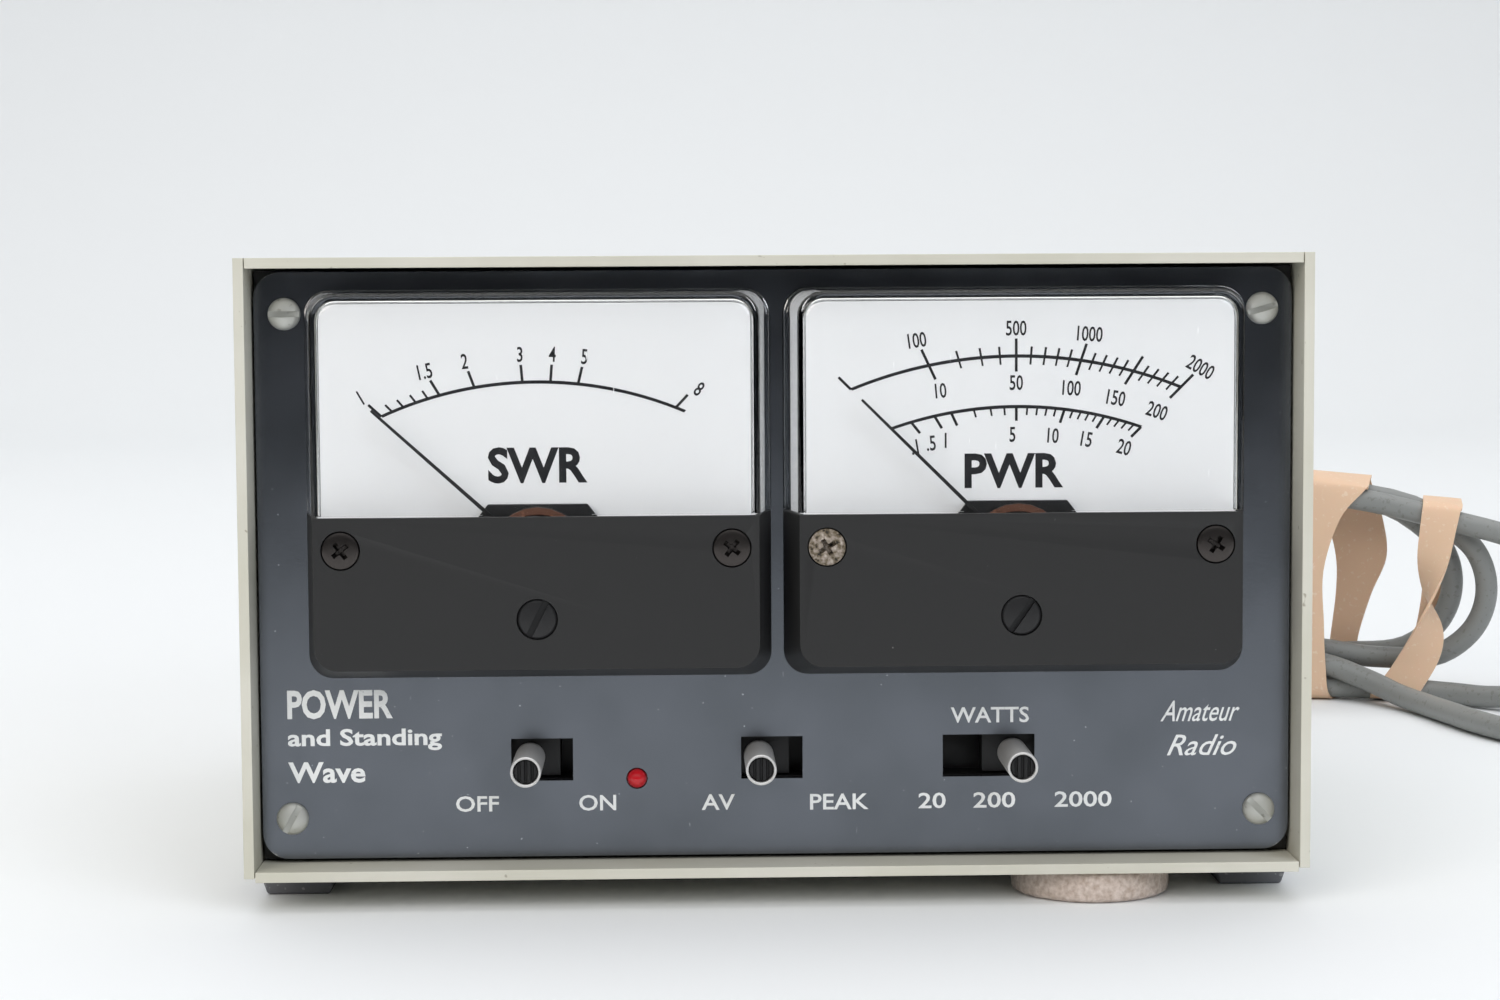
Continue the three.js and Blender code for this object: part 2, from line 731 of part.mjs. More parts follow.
piece("cable_hank", hankForm(-0.5, hankLeft, hankRight), finishes.cordJacket, hank);

for (const { name, along, width } of bandPlaces) {
  const tall = hankHeight - 0.1;
  const wide = hankThickness / 2;
  const band = cut(
    block([along - width / 2, -wide - 1, 0.1], [along + width / 2, wide + 1, tall]),
    block([along - width, -wide - 0.2, 0.7], [along + width, wide + 0.2, tall - 0.6]),
  );
  piece(name, band, finishes.bandRubber, hank);
}

// A ring of points around the cord's middle, so that the tube has flat facets of equal width.
function cordSection() {
  const section = new THREE.Shape();
  const sides = 8;
  for (let i = 0; i < sides; i += 1) {
    const angle = ((i + 0.5) / sides) * 2 * Math.PI;
    const x = cordRadius * Math.cos(angle);
    const y = cordRadius * Math.sin(angle);
    if (i === 0) section.moveTo(x, y);
    else section.lineTo(x, y);
  }
  section.closePath();
  return section;
}

function tube(points, steps) {
  const places = points.map((point) => new THREE.Vector3(...point));
  const route = new THREE.CatmullRomCurve3(places, false, "centripetal");
  return new THREE.ExtrudeGeometry(cordSection(), { extrudePath: route, steps, bevelEnabled: false });
}

const reliefLength = 20;
const reliefEnd = backY + 2.2 + reliefLength;

// A flanged bush through the rear wall, with a ribbed taper outside.
function strainRelief() {
  const profile = [
    [0, -8],
    [4.4, -8],
    [4.4, 0.2],
    [6.4, 0.2],
    [6.4, 2.2],
    [4.8, 2.6],
    [4.5, 6.5],
    [3.9, 6.9],
    [3.9, 8.1],
    [4.3, 8.5],
    [4.1, 12],
    [3.5, 12.4],
    [3.5, 13.6],
    [3.8, 14],
    [3.5, 2.2 + reliefLength],
    [0, 2.2 + reliefLength],
  ];
  return new THREE.LatheGeometry(profile.map(([x, y]) => new THREE.Vector2(x, y)), 16);
}

piece("cable_strain_relief", strainRelief(), finishes.mattBlack).position.set(reliefX, backY, reliefZ);

// From the strain relief down to the table, and in at the left end of the hank. Height is measured
// from the table to the cord's middle where the cord lies on it.
const lying = cordRadius + 0.2;
const leadRoute = [
  [reliefX, reliefEnd + gap, reliefZ],
  [reliefX, reliefEnd + 11, reliefZ - 0.8],
  [reliefX + 0.5, reliefEnd + 21, reliefZ - 5],
  [reliefX + 1.5, reliefEnd + 30, reliefZ - 13],
  [reliefX + 3, reliefEnd + 38, reliefZ - 22],
  [reliefX + 6, reliefEnd + 47, lying + 4],
  [reliefX + 12, reliefEnd + 57, lying + 0.6],
  [reliefX + 21, reliefEnd + 67, lying],
  [reliefX + 32, reliefEnd + 75, lying],
  [reliefX + 44, reliefEnd + 79.5, lying],
  [reliefX + 56, reliefEnd + 80.5, lying],
  [reliefX + 66.5, reliefEnd + 79, lying],
];
piece("cable_lead", tube(leadRoute, 22), finishes.cordJacket);

// From the front of the hank, out to the right on the table, and round to the plug.
const tailRoute = [
  [142, backY + 60.2, lying],
  [146.8, backY + 50.9, lying],
  [149.9, backY + 39.4, lying],
  [152, backY + 26.9, lying],
  [154.4, backY + 13.4, lying],
  [158.4, backY + 0.4, lying],
  [164.8, backY - 10.1, lying],
  [172.4, backY - 19.1, lying + 1],
  [178, backY - 27.4, lying + 3.2],
  [180, backY - 34.8, lying + 4.4],
];
piece("cable_tail", tube(tailRoute, 20), finishes.cordJacket);

const plugRadius = 7.2;
const plugTurn = 0.14; // its nose points a little to the right of straight ahead

// A round multi-pin plug lying on the table: cord sleeve, grip and metal nose.
function sensorPlug() {
  const profile = [
    [0, 0],
    [3.4, 0],
    [4, 9],
    [plugRadius - 0.2, 10],
    [plugRadius, 27],
    [plugRadius - 0.6, 28],
    [plugRadius - 0.6, 38],
    [0, 38],
  ];
  return new THREE.LatheGeometry(profile.map(([x, y]) => new THREE.Vector2(x, y)), roundSteps);
}

const plug = piece("sensor_plug", sensorPlug(), finishes.plugNickel);
plug.position.set(180.1, backY - 35.6, plugRadius + 0.1);
plug.rotation.z = Math.PI + plugTurn;

export default swrMeter;
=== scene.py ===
"""A desk-top SWR and power meter in a sheet-metal case, with its sensor lead tied in a hank behind it."""
import json
import math
import random

import bmesh
import bpy
from mathutils import Matrix, Vector

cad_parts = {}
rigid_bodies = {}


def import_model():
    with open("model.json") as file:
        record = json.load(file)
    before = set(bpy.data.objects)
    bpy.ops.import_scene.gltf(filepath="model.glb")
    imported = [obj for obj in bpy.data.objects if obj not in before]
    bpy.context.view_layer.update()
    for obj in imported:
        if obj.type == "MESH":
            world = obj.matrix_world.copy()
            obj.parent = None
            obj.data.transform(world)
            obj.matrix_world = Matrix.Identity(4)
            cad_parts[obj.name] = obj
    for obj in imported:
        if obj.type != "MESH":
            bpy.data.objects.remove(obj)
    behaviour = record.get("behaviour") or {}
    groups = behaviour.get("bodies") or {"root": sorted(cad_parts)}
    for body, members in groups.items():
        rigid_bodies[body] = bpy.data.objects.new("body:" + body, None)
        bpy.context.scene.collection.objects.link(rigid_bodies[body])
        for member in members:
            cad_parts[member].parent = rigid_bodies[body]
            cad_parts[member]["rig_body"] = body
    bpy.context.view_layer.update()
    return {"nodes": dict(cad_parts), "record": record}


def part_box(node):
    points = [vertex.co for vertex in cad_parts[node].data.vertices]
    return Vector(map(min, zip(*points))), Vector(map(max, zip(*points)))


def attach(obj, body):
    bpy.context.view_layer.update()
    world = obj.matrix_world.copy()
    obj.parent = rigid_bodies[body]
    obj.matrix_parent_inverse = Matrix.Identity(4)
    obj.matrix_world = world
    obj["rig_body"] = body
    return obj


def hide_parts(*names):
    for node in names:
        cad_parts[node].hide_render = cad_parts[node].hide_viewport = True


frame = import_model()

# ---- Measures, in metres ----
mm = 0.001
back_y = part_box("left_side_panel")[1].y
case_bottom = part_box("chassis_pan")[0].z
panel_low, panel_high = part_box("front_panel")
panel_y = panel_low.y
meters = ["swr_meter", "power_meter"]
switches = ["power_switch", "average_peak_switch", "range_switch"]


def middle(node):
    low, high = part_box(node)
    return (low + high) / 2


def body_of(node):
    return frame["nodes"][node]["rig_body"]


def at(x, y, z):
    return Matrix.Translation((x, y, z))


def spin(degrees, axis="Y"):
    return Matrix.Rotation(math.radians(degrees), 4, axis)


def in_scene(name, data):
    """A new object in the scene, made of this data."""
    thing = bpy.data.objects.new(name, data)
    bpy.context.scene.collection.objects.link(thing)
    return thing


# ---- Camera ----
lens_mm = 69.95
camera_place = at(-15.27 * mm, -519.0 * mm, 96.83 * mm)
camera_heading = -1.422
camera_tilt = 85.734
camera_roll = -0.342


def make_camera():
    data = bpy.data.cameras.new("camera")
    data.lens = lens_mm
    data.sensor_width = 36
    data.clip_start = 0.01
    data.clip_end = 20
    camera = in_scene("camera", data)
    turned = camera_place @ spin(camera_heading, "Z") @ spin(camera_tilt, "X")
    camera.matrix_world = turned @ spin(camera_roll, "Z")
    bpy.context.scene.camera = camera
    bpy.context.scene.view_settings.view_transform = "Standard"


make_camera()


# ---- Materials ----
def linear(colour):
    """A hex colour, as it looks on a screen, turned to the linear values that a shader takes."""
    parts = [int(colour[i : i + 2], 16) / 255 for i in (1, 3, 5)]
    parts = [c / 12.92 if c <= 0.04045 else ((c + 0.055) / 1.055) ** 2.4 for c in parts]
    return (*parts, 1)


def add(tree, kind, inputs=None, stops=None, into=None, **settings):
    """Adds a shader node. inputs holds, for each socket, its value, a socket that feeds it, or a node whose
    first output feeds it. stops are a ramp's. into is a socket for the new node's first output to feed."""
    node = tree.nodes.new(f"ShaderNode{kind}")
    for name, value in settings.items():
        setattr(node, name, value)
    for name, value in (inputs or {}).items():
        socket = node.inputs[name]
        if isinstance(value, bpy.types.Node):
            tree.links.new(value.outputs[0], socket)
        elif isinstance(value, bpy.types.NodeSocket):
            tree.links.new(value, socket)
        else:
            socket.default_value = linear(value) if isinstance(value, str) else value
    if stops:
        elements = node.color_ramp.elements
        while len(elements) < len(stops):
            elements.new(0.5)
        for element, (position, value) in zip(elements, stops):
            element.position = position
            element.color = linear(value) if isinstance(value, str) else (value, value, value, 1)
    if into:
        tree.links.new(node.outputs[0], into)
    return node


def start(name, colour, roughness, metallic=0.0, **shader_values):
    """A new material, its tree, its shader's sockets and the place on the object, in metres."""
    material = bpy.data.materials.new(name)
    material.use_nodes = True
    tree = material.node_tree
    shader = tree.nodes["Principled BSDF"].inputs
    values = {"Base Color": linear(colour), "Roughness": roughness, "Metallic": metallic}
    for socket, value in (values | shader_values).items():
        shader[socket].default_value = value
    place = add(tree, "TexCoord").outputs["Object"]
    return material, tree, shader, place


def per_metre(size_mm):
    """A pattern's scale, from the size of one of its grains."""
    return 1 / (size_mm * mm)


def baked_enamel():
    """Warm grey stoving enamel on sheet steel: an even satin skin, a faint orange peel and small chips."""
    material, tree, shader, place = start("baked_enamel_warm_grey", "#cfcdc0", 0.45)
    patches = add(tree, "TexNoise", {"Vector": place, "Scale": per_metre(22), "Detail": 4.0})
    tint = add(tree, "ValToRGB", {"Fac": patches}, [(0.35, "#c9c7b8"), (0.65, "#d3d1c5")])
    specks = add(tree, "TexNoise", {"Vector": place, "Scale": per_metre(1.3), "Detail": 1.0})
    dirt = add(tree, "ValToRGB", {"Fac": specks}, [(0.75, 0.0), (0.8, 0.7)])
    add(tree, "MixRGB", {"Fac": dirt, "Color1": tint, "Color2": "#8d8673"}, into=shader["Base Color"])
    peel = add(tree, "TexNoise", {"Vector": place, "Scale": per_metre(0.9), "Detail": 2.0})
    add(tree, "Bump", {"Height": peel, "Distance": 0.03 * mm, "Strength": 0.5}, into=shader["Normal"])
    return material


def anodised_panel():
    """Dark grey anodised aluminium: a satin metal that mirrors light and dark softly, with bare metal
    where its corners are worn, fine bright scratches and specks of dust."""
    material, tree, shader, place = start("anodised_aluminium_dark_grey", "#6f747c", 0.24, 0.95)
    grain = add(tree, "TexNoise", {"Vector": place, "Scale": per_metre(14), "Detail": 5.0})
    tint = add(tree, "ValToRGB", {"Fac": grain}, [(0.35, "#666a70"), (0.65, "#70747b")])
    slanted = {"Vector": place, "Scale": (1.0, 1.0, 0.12), "Rotation": (0, 0.5, 0)}
    drawn_out = add(tree, "Mapping", slanted)
    scratches = add(tree, "TexNoise", {"Vector": drawn_out, "Scale": per_metre(0.45), "Detail": 2.0})
    marks = add(tree, "ValToRGB", {"Fac": scratches}, [(0.76, 0.0), (0.8, 0.55)])
    specks = add(tree, "TexNoise", {"Vector": place, "Scale": per_metre(0.7), "Detail": 1.0})
    dust = add(tree, "ValToRGB", {"Fac": specks}, [(0.765, 0.0), (0.8, 0.7)])
    bright = add(tree, "Math", {0: marks, 1: dust}, operation="MAXIMUM")
    scratched = add(tree, "MixRGB", {"Fac": bright, "Color1": tint, "Color2": "#c3c8cc"})
    # How near a place is to a corner of the panel: 1 at the corner, 0 along the panel's middle lines.
    half = (panel_high - panel_low) / 2
    offset = add(tree, "VectorMath", {0: place, 1: tuple(middle("front_panel"))}, operation="SUBTRACT")
    share = add(tree, "VectorMath", {0: offset, 1: (1 / half.x, 1.0, 1 / half.z)}, operation="MULTIPLY")
    size = add(tree, "VectorMath", {0: share}, operation="ABSOLUTE")
    axes = add(tree, "SeparateXYZ", {"Vector": size}).outputs
    corner = add(tree, "Math", {0: axes["X"], 1: axes["Z"]}, operation="MULTIPLY")
    ragged = add(tree, "Math", {0: scratches, 1: 0.03, 2: corner}, operation="MULTIPLY_ADD")
    worn = add(tree, "ValToRGB", {"Fac": ragged}, [(0.975, 0.0), (0.985, 1.0)])
    add(tree, "MixRGB", {"Fac": worn, "Color1": scratched, "Color2": "#d9dad8"}, into=shader["Base Color"])
    add(tree, "MapRange", {"Value": grain, "To Min": 0.2, "To Max": 0.27}, into=shader["Roughness"])
    fine = add(tree, "TexNoise", {"Vector": place, "Scale": per_metre(0.5), "Detail": 2.0})
    add(tree, "Bump", {"Height": fine, "Distance": 0.01 * mm, "Strength": 0.4}, into=shader["Normal"])
    return material


def speckled(name, colour, dust, roughness, grain_mm, depth_mm, dust_from=0.72, metallic=0.0, **others):
    """A finish with a fine grain under the light and thinly scattered dust, for mouldings, rubber and wire.
    On the red lens the dust's colour is a lighter red and is painted glow.
    A lower dust_from lets more of the dust's pattern show."""
    material, tree, shader, place = start(name, colour, roughness, metallic, **others)
    fine = add(tree, "TexNoise", {"Vector": place, "Scale": per_metre(grain_mm), "Detail": 3.0})
    scattered = add(tree, "TexNoise", {"Vector": place, "Scale": per_metre(1.1), "Detail": 3.0})
    mask = add(tree, "ValToRGB", {"Fac": scattered}, [(dust_from, 0.0), (dust_from + 0.06, 0.6)])
    add(tree, "MixRGB", {"Fac": mask, "Color1": colour, "Color2": dust}, into=shader["Base Color"])
    add(tree, "Bump", {"Height": fine, "Distance": depth_mm * mm, "Strength": 0.6}, into=shader["Normal"])
    return material


def clear_acrylic():
    """Polished clear acrylic: almost unseen face on, bright along its edges and corners. Light reaches what
    is behind it, and a few fine scratches catch the light."""
    clear_values = {"Transmission Weight": 1.0, "IOR": 1.49}
    material, tree, shader, place = start("clear_acrylic", "#fbfcfc", 0.02, **clear_values)
    slanted = {"Vector": place, "Scale": (1.0, 1.0, 0.08), "Rotation": (0, 0.2, 0)}
    drawn_out = add(tree, "Mapping", slanted)
    rubs = add(tree, "TexNoise", {"Vector": drawn_out, "Scale": per_metre(0.4), "Detail": 2.0})
    add(tree, "ValToRGB", {"Fac": rubs}, [(0.74, 0.02), (0.79, 0.35)], into=shader["Roughness"])
    clear = add(tree, "BsdfTransparent", {"Color": (0.96, 0.97, 0.97, 1)})
    shadow_ray = add(tree, "LightPath").outputs["Is Shadow Ray"]
    surface = tree.nodes["Material Output"].inputs["Surface"]
    add(tree, "MixShader", {0: shadow_ray, 1: tree.nodes["Principled BSDF"], 2: clear}, into=surface)
    return material


def wool_felt():
    """Pressed wool felt: a matt mat of pale pinkish fibres of uneven tone, with painted shade in the hollows
    between them: the colour is darker where the bump is low.
    """
    material, tree, shader, place = start("wool_felt", "#cdbcae", 0.95, **{"Sheen Weight": 0.3})
    fibres = add(tree, "TexNoise", {"Vector": place, "Scale": per_metre(0.8), "Detail": 6.0})
    # One pattern sets both the colour and the bump's height, so the low places carry painted shade.
    shades = [(0.3, "#b09d8f"), (0.7, "#dccec4")]
    add(tree, "ValToRGB", {"Fac": fibres}, shades, into=shader["Base Color"])
    add(tree, "Bump", {"Height": fibres, "Distance": 0.5 * mm, "Strength": 0.8}, into=shader["Normal"])
    return material


def corroded_steel():
    """A rusted black screw: whitish and ochre crusts over dark steel, rough all over."""
    material, tree, shader, place = start("corroded_steel", "#8b8378", 0.75, 0.2)
    crust = add(tree, "TexNoise", {"Vector": place, "Scale": per_metre(0.7), "Detail": 5.0})
    bare = [(0.34, "#2e2a26"), (0.45, "#6f6350")]
    crusted = [(0.54, "#8f8578"), (0.62, "#a3968c"), (0.7, "#c4bcae")]
    add(tree, "ValToRGB", {"Fac": crust}, bare + crusted, into=shader["Base Color"])
    add(tree, "Bump", {"Height": crust, "Distance": 0.35 * mm, "Strength": 1.0}, into=shader["Normal"])
    return material


case_enamel = baked_enamel()
panel_finish = anodised_panel()
acrylic = clear_acrylic()
felt_finish = wool_felt()
corroded = corroded_steel()
# Textured ABS: matt black, with the fine bloom of a spark-eroded mould and a little dust.
black_abs = speckled("black_textured_abs", "#262626", "#8f8f8c", 0.5, 0.35, 0.02, 0.77)
# Compression-moulded phenolic: black with a duller, slightly uneven shine.
phenolic = speckled("black_phenolic", "#1d1d1e", "#5a5a58", 0.45, 0.6, 0.02)
# Black enamelled steel: thin, smooth and satin.
enamelled_steel = speckled("black_enamelled_steel", "#151516", "#6b6459", 0.5, 0.5, 0.02)
# Black oxide on a screw: dark steel whose dome catches a sharp highlight.
black_oxide = speckled("black_oxide_steel", "#4a4644", "#7d776f", 0.34, 0.4, 0.02, 0.74, 0.9)
# Zinc plate gone dull: satin grey metal with a mottled skin.
zinc = speckled("dull_zinc_plate", "#c6c7c1", "#8f8d84", 0.45, 0.8, 0.05, 0.66, 0.5)
# Drawn aluminium tube: pale satin metal with a bright turned end.
drawn_tube = speckled("drawn_aluminium_tube", "#dcdbd9", "#a3a29f", 0.4, 0.3, 0.02, 0.72, 0.55)
# Moulded rubber: matt charcoal with grey dust that has settled in its pores.
foot_rubber = speckled("moulded_rubber", "#6d6e72", "#a7a7a6", 0.8, 0.6, 0.06, 0.62)
# Dial enamel: flat white on aluminium sheet, almost without shine.
dial_white = speckled("white_dial_enamel", "#e3e3e4", "#c6c6c8", 0.6, 0.5, 0.005, 0.75)
# Printer's ink: dense black with no shine.
dial_ink = speckled("black_printing_ink", "#17171a", "#3a3a3d", 0.7, 0.4, 0.002, 0.8)
# Screen-printed epoxy ink: opaque white with pinholes.
white_ink = speckled("white_screen_ink", "#e9ebea", "#9fa3a6", 0.55, 0.4, 0.01, 0.7)
# PVC cord jacket: mid grey, smooth and slightly greasy, with faint rubbed patches.
pvc_jacket = speckled("grey_pvc_jacket", "#8b8d8b", "#74746f", 0.42, 1.6, 0.03, 0.6)
# Crepe rubber: pale tan, matt, with the dusting of talc that rubber bands keep.
soft_inside = {"Subsurface Weight": 0.1, "Subsurface Scale": 0.001}
crepe_rubber = speckled("crepe_rubber_band", "#e6c4a6", "#efdac6", 0.66, 0.9, 0.03, 0.62, **soft_inside)
# Nickel-plated brass: warm bright metal, lightly fingered.
nickel = speckled("nickel_plated_brass", "#c3c1b9", "#9d998d", 0.28, 1.2, 0.02, 0.66, 1.0)
# Ground magnet steel and its soft-iron core.
magnet_steel = speckled("ground_magnet_steel", "#86888b", "#5d5f61", 0.38, 0.5, 0.03, 0.6, 1.0)
# Enamelled copper wire, wound close.
copper = speckled("enamelled_copper_wire", "#a3592c", "#6d371a", 0.35, 0.25, 0.06, 0.6, 0.9)
# Glass-epoxy laminate under green solder resist.
laminate = speckled("green_epoxy_laminate", "#2f6b3a", "#27552f", 0.4, 0.7, 0.03, 0.55)
# Printed steel battery can.
battery_can = speckled("lacquered_battery_can", "#30343a", "#50555c", 0.4, 0.8, 0.02, 0.66, 0.6)
# Vulcanised fibre: red-brown and waxy.
brown_fibre = speckled("vulcanised_fibre", "#5a3a2c", "#7d5540", 0.5, 0.5, 0.03, 0.6)
# Dyed epoxy lens: clear deep red and glossy, with scattered lighter red patches of painted glow for light
# gathered in it.
lens_values = {"Transmission Weight": 0.35, "IOR": 1.53}
red_epoxy_painted_glow = speckled("dyed_red_epoxy", "#e0242f", "#ee4a52", 0.08, 0.8, 0.01, 0.6, **lens_values)

# Each node's finish, by the record's slot.
slot_finish = {
    "case_paint": case_enamel,
    "panel_paint": panel_finish,
    "black_steel": enamelled_steel,
    "zinc_plate": zinc,
    "foot_rubber": foot_rubber,
    "felt": felt_finish,
    "black_phenolic": phenolic,
    "matt_black_cover": black_abs,
    "clear_acrylic": acrylic,
    "dial_paint": dial_white,
    "magnet_steel": magnet_steel,
    "copper_wire": copper,
    "black_enamel": enamelled_steel,
    "bright_tube": drawn_tube,
    "red_lens": red_epoxy_painted_glow,
    "board_laminate": laminate,
    "battery_can": battery_can,
    "cord_jacket": pvc_jacket,
    "plug_nickel": nickel,
    "band_rubber": crepe_rubber,
}
node_slot = {part["node"]: part["material_slot"] for part in frame["record"]["subparts"]}


# ---- Making pieces ----
def face_out(shape):
    bmesh.ops.recalc_face_normals(shape, faces=shape.faces)
    return shape


def skin(shape, near, far):
    """Faces between two rings of points. A ring may be a single point."""
    count = max(len(near), len(far))
    for i in range(count):
        k = (i + 1) % count
        corners = [near[i % len(near)], near[k % len(near)], far[k % len(far)], far[i % len(far)]]
        shape.faces.new(list(dict.fromkeys(corners)))


def to_piece(name, shape, material, nodes=(), body="chassis", crease=35):
    """A named piece from a bmesh, riding on a body and standing for any CAD nodes given."""
    mesh = bpy.data.meshes.new(name)
    shape.to_mesh(mesh)
    shape.free()
    mesh.shade_smooth()
    mesh.set_sharp_from_angle(angle=math.radians(crease))
    mesh.materials.append(material)
    piece = in_scene(name, mesh)
    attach(piece, body)
    if nodes:
        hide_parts(*nodes)
    return piece


def lathe(profile, steps=48, closed=False):
    """A shape turned about Y from (radius, y) points. A closed profile makes a ring."""
    shape = bmesh.new()
    turns = [2 * math.pi * i / steps for i in range(steps)]
    rings = []
    for radius, y in profile:
        if radius == 0:
            rings.append([shape.verts.new((0, y, 0))])
        else:
            rings.append([shape.verts.new((radius * math.cos(t), y, radius * math.sin(t))) for t in turns])
    if closed:
        rings.append(rings[0])
    for near, far in zip(rings, rings[1:]):
        skin(shape, near, far)
    return face_out(shape)


def brick(low, high, taper=1.0):
    """A box between two corners. Its back, at the greater y, is taper times as large as its front."""
    shape = bmesh.new()
    bmesh.ops.create_cube(shape, size=1)
    span = Vector(high) - Vector(low)
    centre = (Vector(low) + Vector(high)) / 2
    for vertex in shape.verts:
        grown = taper if vertex.co.y > 0 else 1.0
        vertex.co = centre + vertex.co * span * Vector((grown, 1.0, grown))
    return shape


def as_object(shape):
    mesh = bpy.data.meshes.new("work")
    shape.to_mesh(mesh)
    shape.free()
    return in_scene("work", mesh)


def carve(shape, cutters):
    """The shape with each cutter taken away from it."""
    body = as_object(shape)
    tools = [as_object(cutter) for cutter in cutters]
    for tool in tools:
        cut = body.modifiers.new("cut", "BOOLEAN")
        cut.operation = "DIFFERENCE"
        cut.solver = "EXACT"
        cut.object = tool
    bpy.context.view_layer.update()
    result = bmesh.new()
    result.from_object(body, bpy.context.evaluated_depsgraph_get())
    for thing in [body, *tools]:
        bpy.data.objects.remove(thing)
    return result


def joined(*shapes):
    """Several shapes kept as they are in one bmesh."""
    whole = bmesh.new()
    for shape in shapes:
        mesh = bpy.data.meshes.new("work")
        shape.to_mesh(mesh)
        shape.free()
        whole.from_mesh(mesh)
        bpy.data.meshes.remove(mesh)
    return whole


def moved(shape, matrix):
    bmesh.ops.transform(shape, matrix=matrix, verts=shape.verts)
    return shape


def finer(node, edge_mm, segments):
    """A copy of a CAD node with whole flats and rounded edges, which replaces it."""
    shape = bmesh.new()
    shape.from_mesh(frame["nodes"][node].data)
    bmesh.ops.remove_doubles(shape, verts=shape.verts, dist=1e-7)
    bmesh.ops.dissolve_limit(shape, angle_limit=math.radians(0.4), verts=shape.verts, edges=shape.edges)
    slot = node_slot[node]
    piece = to_piece(f"{node}_finished", shape, slot_finish[slot], [node], body_of(node))
    bevel = piece.modifiers.new("rounded_edges", "BEVEL")
    bevel.width = edge_mm * mm
    bevel.segments = segments
    bevel.limit_method = "ANGLE"
    bevel.angle_limit = math.radians(35)
    bevel.harden_normals = True
    return piece


# ---- Sensor lead: its route lies where the CAD solids do ----
cord_radius = 2.5 * mm
relief_x, relief_z = middle("cable_strain_relief").x, middle("cable_strain_relief").z
relief_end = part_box("cable_strain_relief")[1].y
hank_place = at(0, back_y + 107 * mm, 0) @ spin(-14, "Z")


def in_hank(along, across, height):
    """A point in the hank, from millimetres along it, across it and above the table."""
    return hank_place @ Vector((along * mm, across * mm, height * mm))


def lead_route():
    """From the strain relief down to the table and round to the hank."""
    steps = [
        (0, 11, 33.2),
        (0.5, 21, 29),
        (1.5, 30, 21),
        (3, 38, 12),
        (6, 47, 6.7),
        (12, 57, 3.3),
        (21, 67, 2.7),
        (32, 75, 2.7),
        (44, 79.5, 2.7),
        (56, 80.5, 2.7),
        (66.5, 79, 2.7),
    ]
    points = [Vector((relief_x, relief_end + 0.3 * mm, relief_z))]
    for x, y, z in steps:
        points.append(Vector((relief_x + x * mm, relief_end + y * mm, z * mm)))
    return points


# The first turn has slipped forward at its right end: it runs out on the table between the hank and
# the tail, and back up to the top of the hank. Millimetres along the hank, across it and above the table.
outer_turn = [
    (38, -2.4, 2.9),
    (54, -4.4, 3.2),
    (74, -5.4, 3.4),
    (98, -5.4, 3.4),
    (122, -5.4, 3.3),
    (146, -5.4, 2.9),
    (158, -6.6, 2.8),
    (168, -10.4, 2.7),
    (176.5, -16.0, 2.9),
    (184.5, -20.4, 4.4),
    (192, -20.6, 8.4),
    (197, -17.0, 14.2),
    (198.6, -12.2, 21.2),
    (196.4, -8.4, 28.6),
    (190, -6.2, 34.6),
    (180, -5.4, 38.4),
    (166, -5.4, 42.0),
    (150, -5.4, 45.8),
    (132, -5.4, 48.2),
    (106, -5.4, 49.2),
    (74, -5.4, 49.2),
]

# The other turns, side by side: the lane across, places along and their heights below, the height on
# top, the right end, and the middle height and radius of the right bight.
hank_turns = [
    {
        "across": 0.0,
        "below": [(74, 4.4), (104, 8.8), (124, 11.9), (138, 11.0), (151, 9.4)],
        "top": 48.6,
        "right": 175.6,
        "bight": 25.6,
        "radius": 16.2,
    },
    {
        "across": 5.4,
        "below": [(74, 3.4), (104, 3.6), (124, 5.4), (140, 9.2)],
        "top": 48.8,
        "right": 168.0,
        "bight": 26.5,
        "radius": 16.0,
    },
    {
        "across": 5.4,
        "below": [(74, 8.8), (96, 9.4)],
        "top": 43.2,
        "right": 126.0,
        "bight": 26.3,
        "radius": 16.0,
    },
]
leaving = [(92, -5.4, 8.9), (116, -5.4, 8.8), (128, -5.3, 8.7), (138, -5.7, 8.4)]
left_ends = [27.2, 33.0, 38.8, 44.6]
top_left = 74.0
top_right = 128.0
bight_clearance = 16
bight_step = 30  # degrees from one point of a bight to the next


def left_bight(left_end, start_lane, start_height, end_lane, end_height):
    """The turn at the hank's left end, from the top to the bottom, where the cord changes lane."""
    radius = (start_height - end_height) / 2
    height = (start_height + end_height) / 2
    points = []
    for step in range(7):
        angle = math.radians(90 + bight_step * step)
        share = step / 6
        share = share * share * (3 - 2 * share)
        across = start_lane + share * (end_lane - start_lane)
        along = left_end + radius + radius * math.cos(angle)
        points.append(in_hank(along, across, height + radius * math.sin(angle)))
    return points


def hank_route():
    starts = [(turn["across"], turn["below"][0][1]) for turn in hank_turns] + [leaving[0][1:]]
    points = [in_hank(*station) for station in outer_turn]
    points += left_bight(left_ends[0], *outer_turn[-1][1:], *starts[0])
    for turn, left_end, following in zip(hank_turns, left_ends[1:], starts[1:]):
        across, radius = turn["across"], turn["radius"]
        centre = turn["right"] - radius
        points += [in_hank(along, across, height) for along, height in turn["below"]]
        for step in range(1, 6):
            angle = math.radians(-90 + bight_step * step)
            height = turn["bight"] + radius * math.sin(angle)
            points.append(in_hank(centre + radius * math.cos(angle), across, height))
        bend_end = min(centre - bight_clearance, top_right)
        for along in (bend_end, (bend_end + top_left) / 2, top_left):
            points.append(in_hank(along, across, turn["top"]))
        points += left_bight(left_end, across, turn["top"], *following)
    return points + [in_hank(*station) for station in leaving]


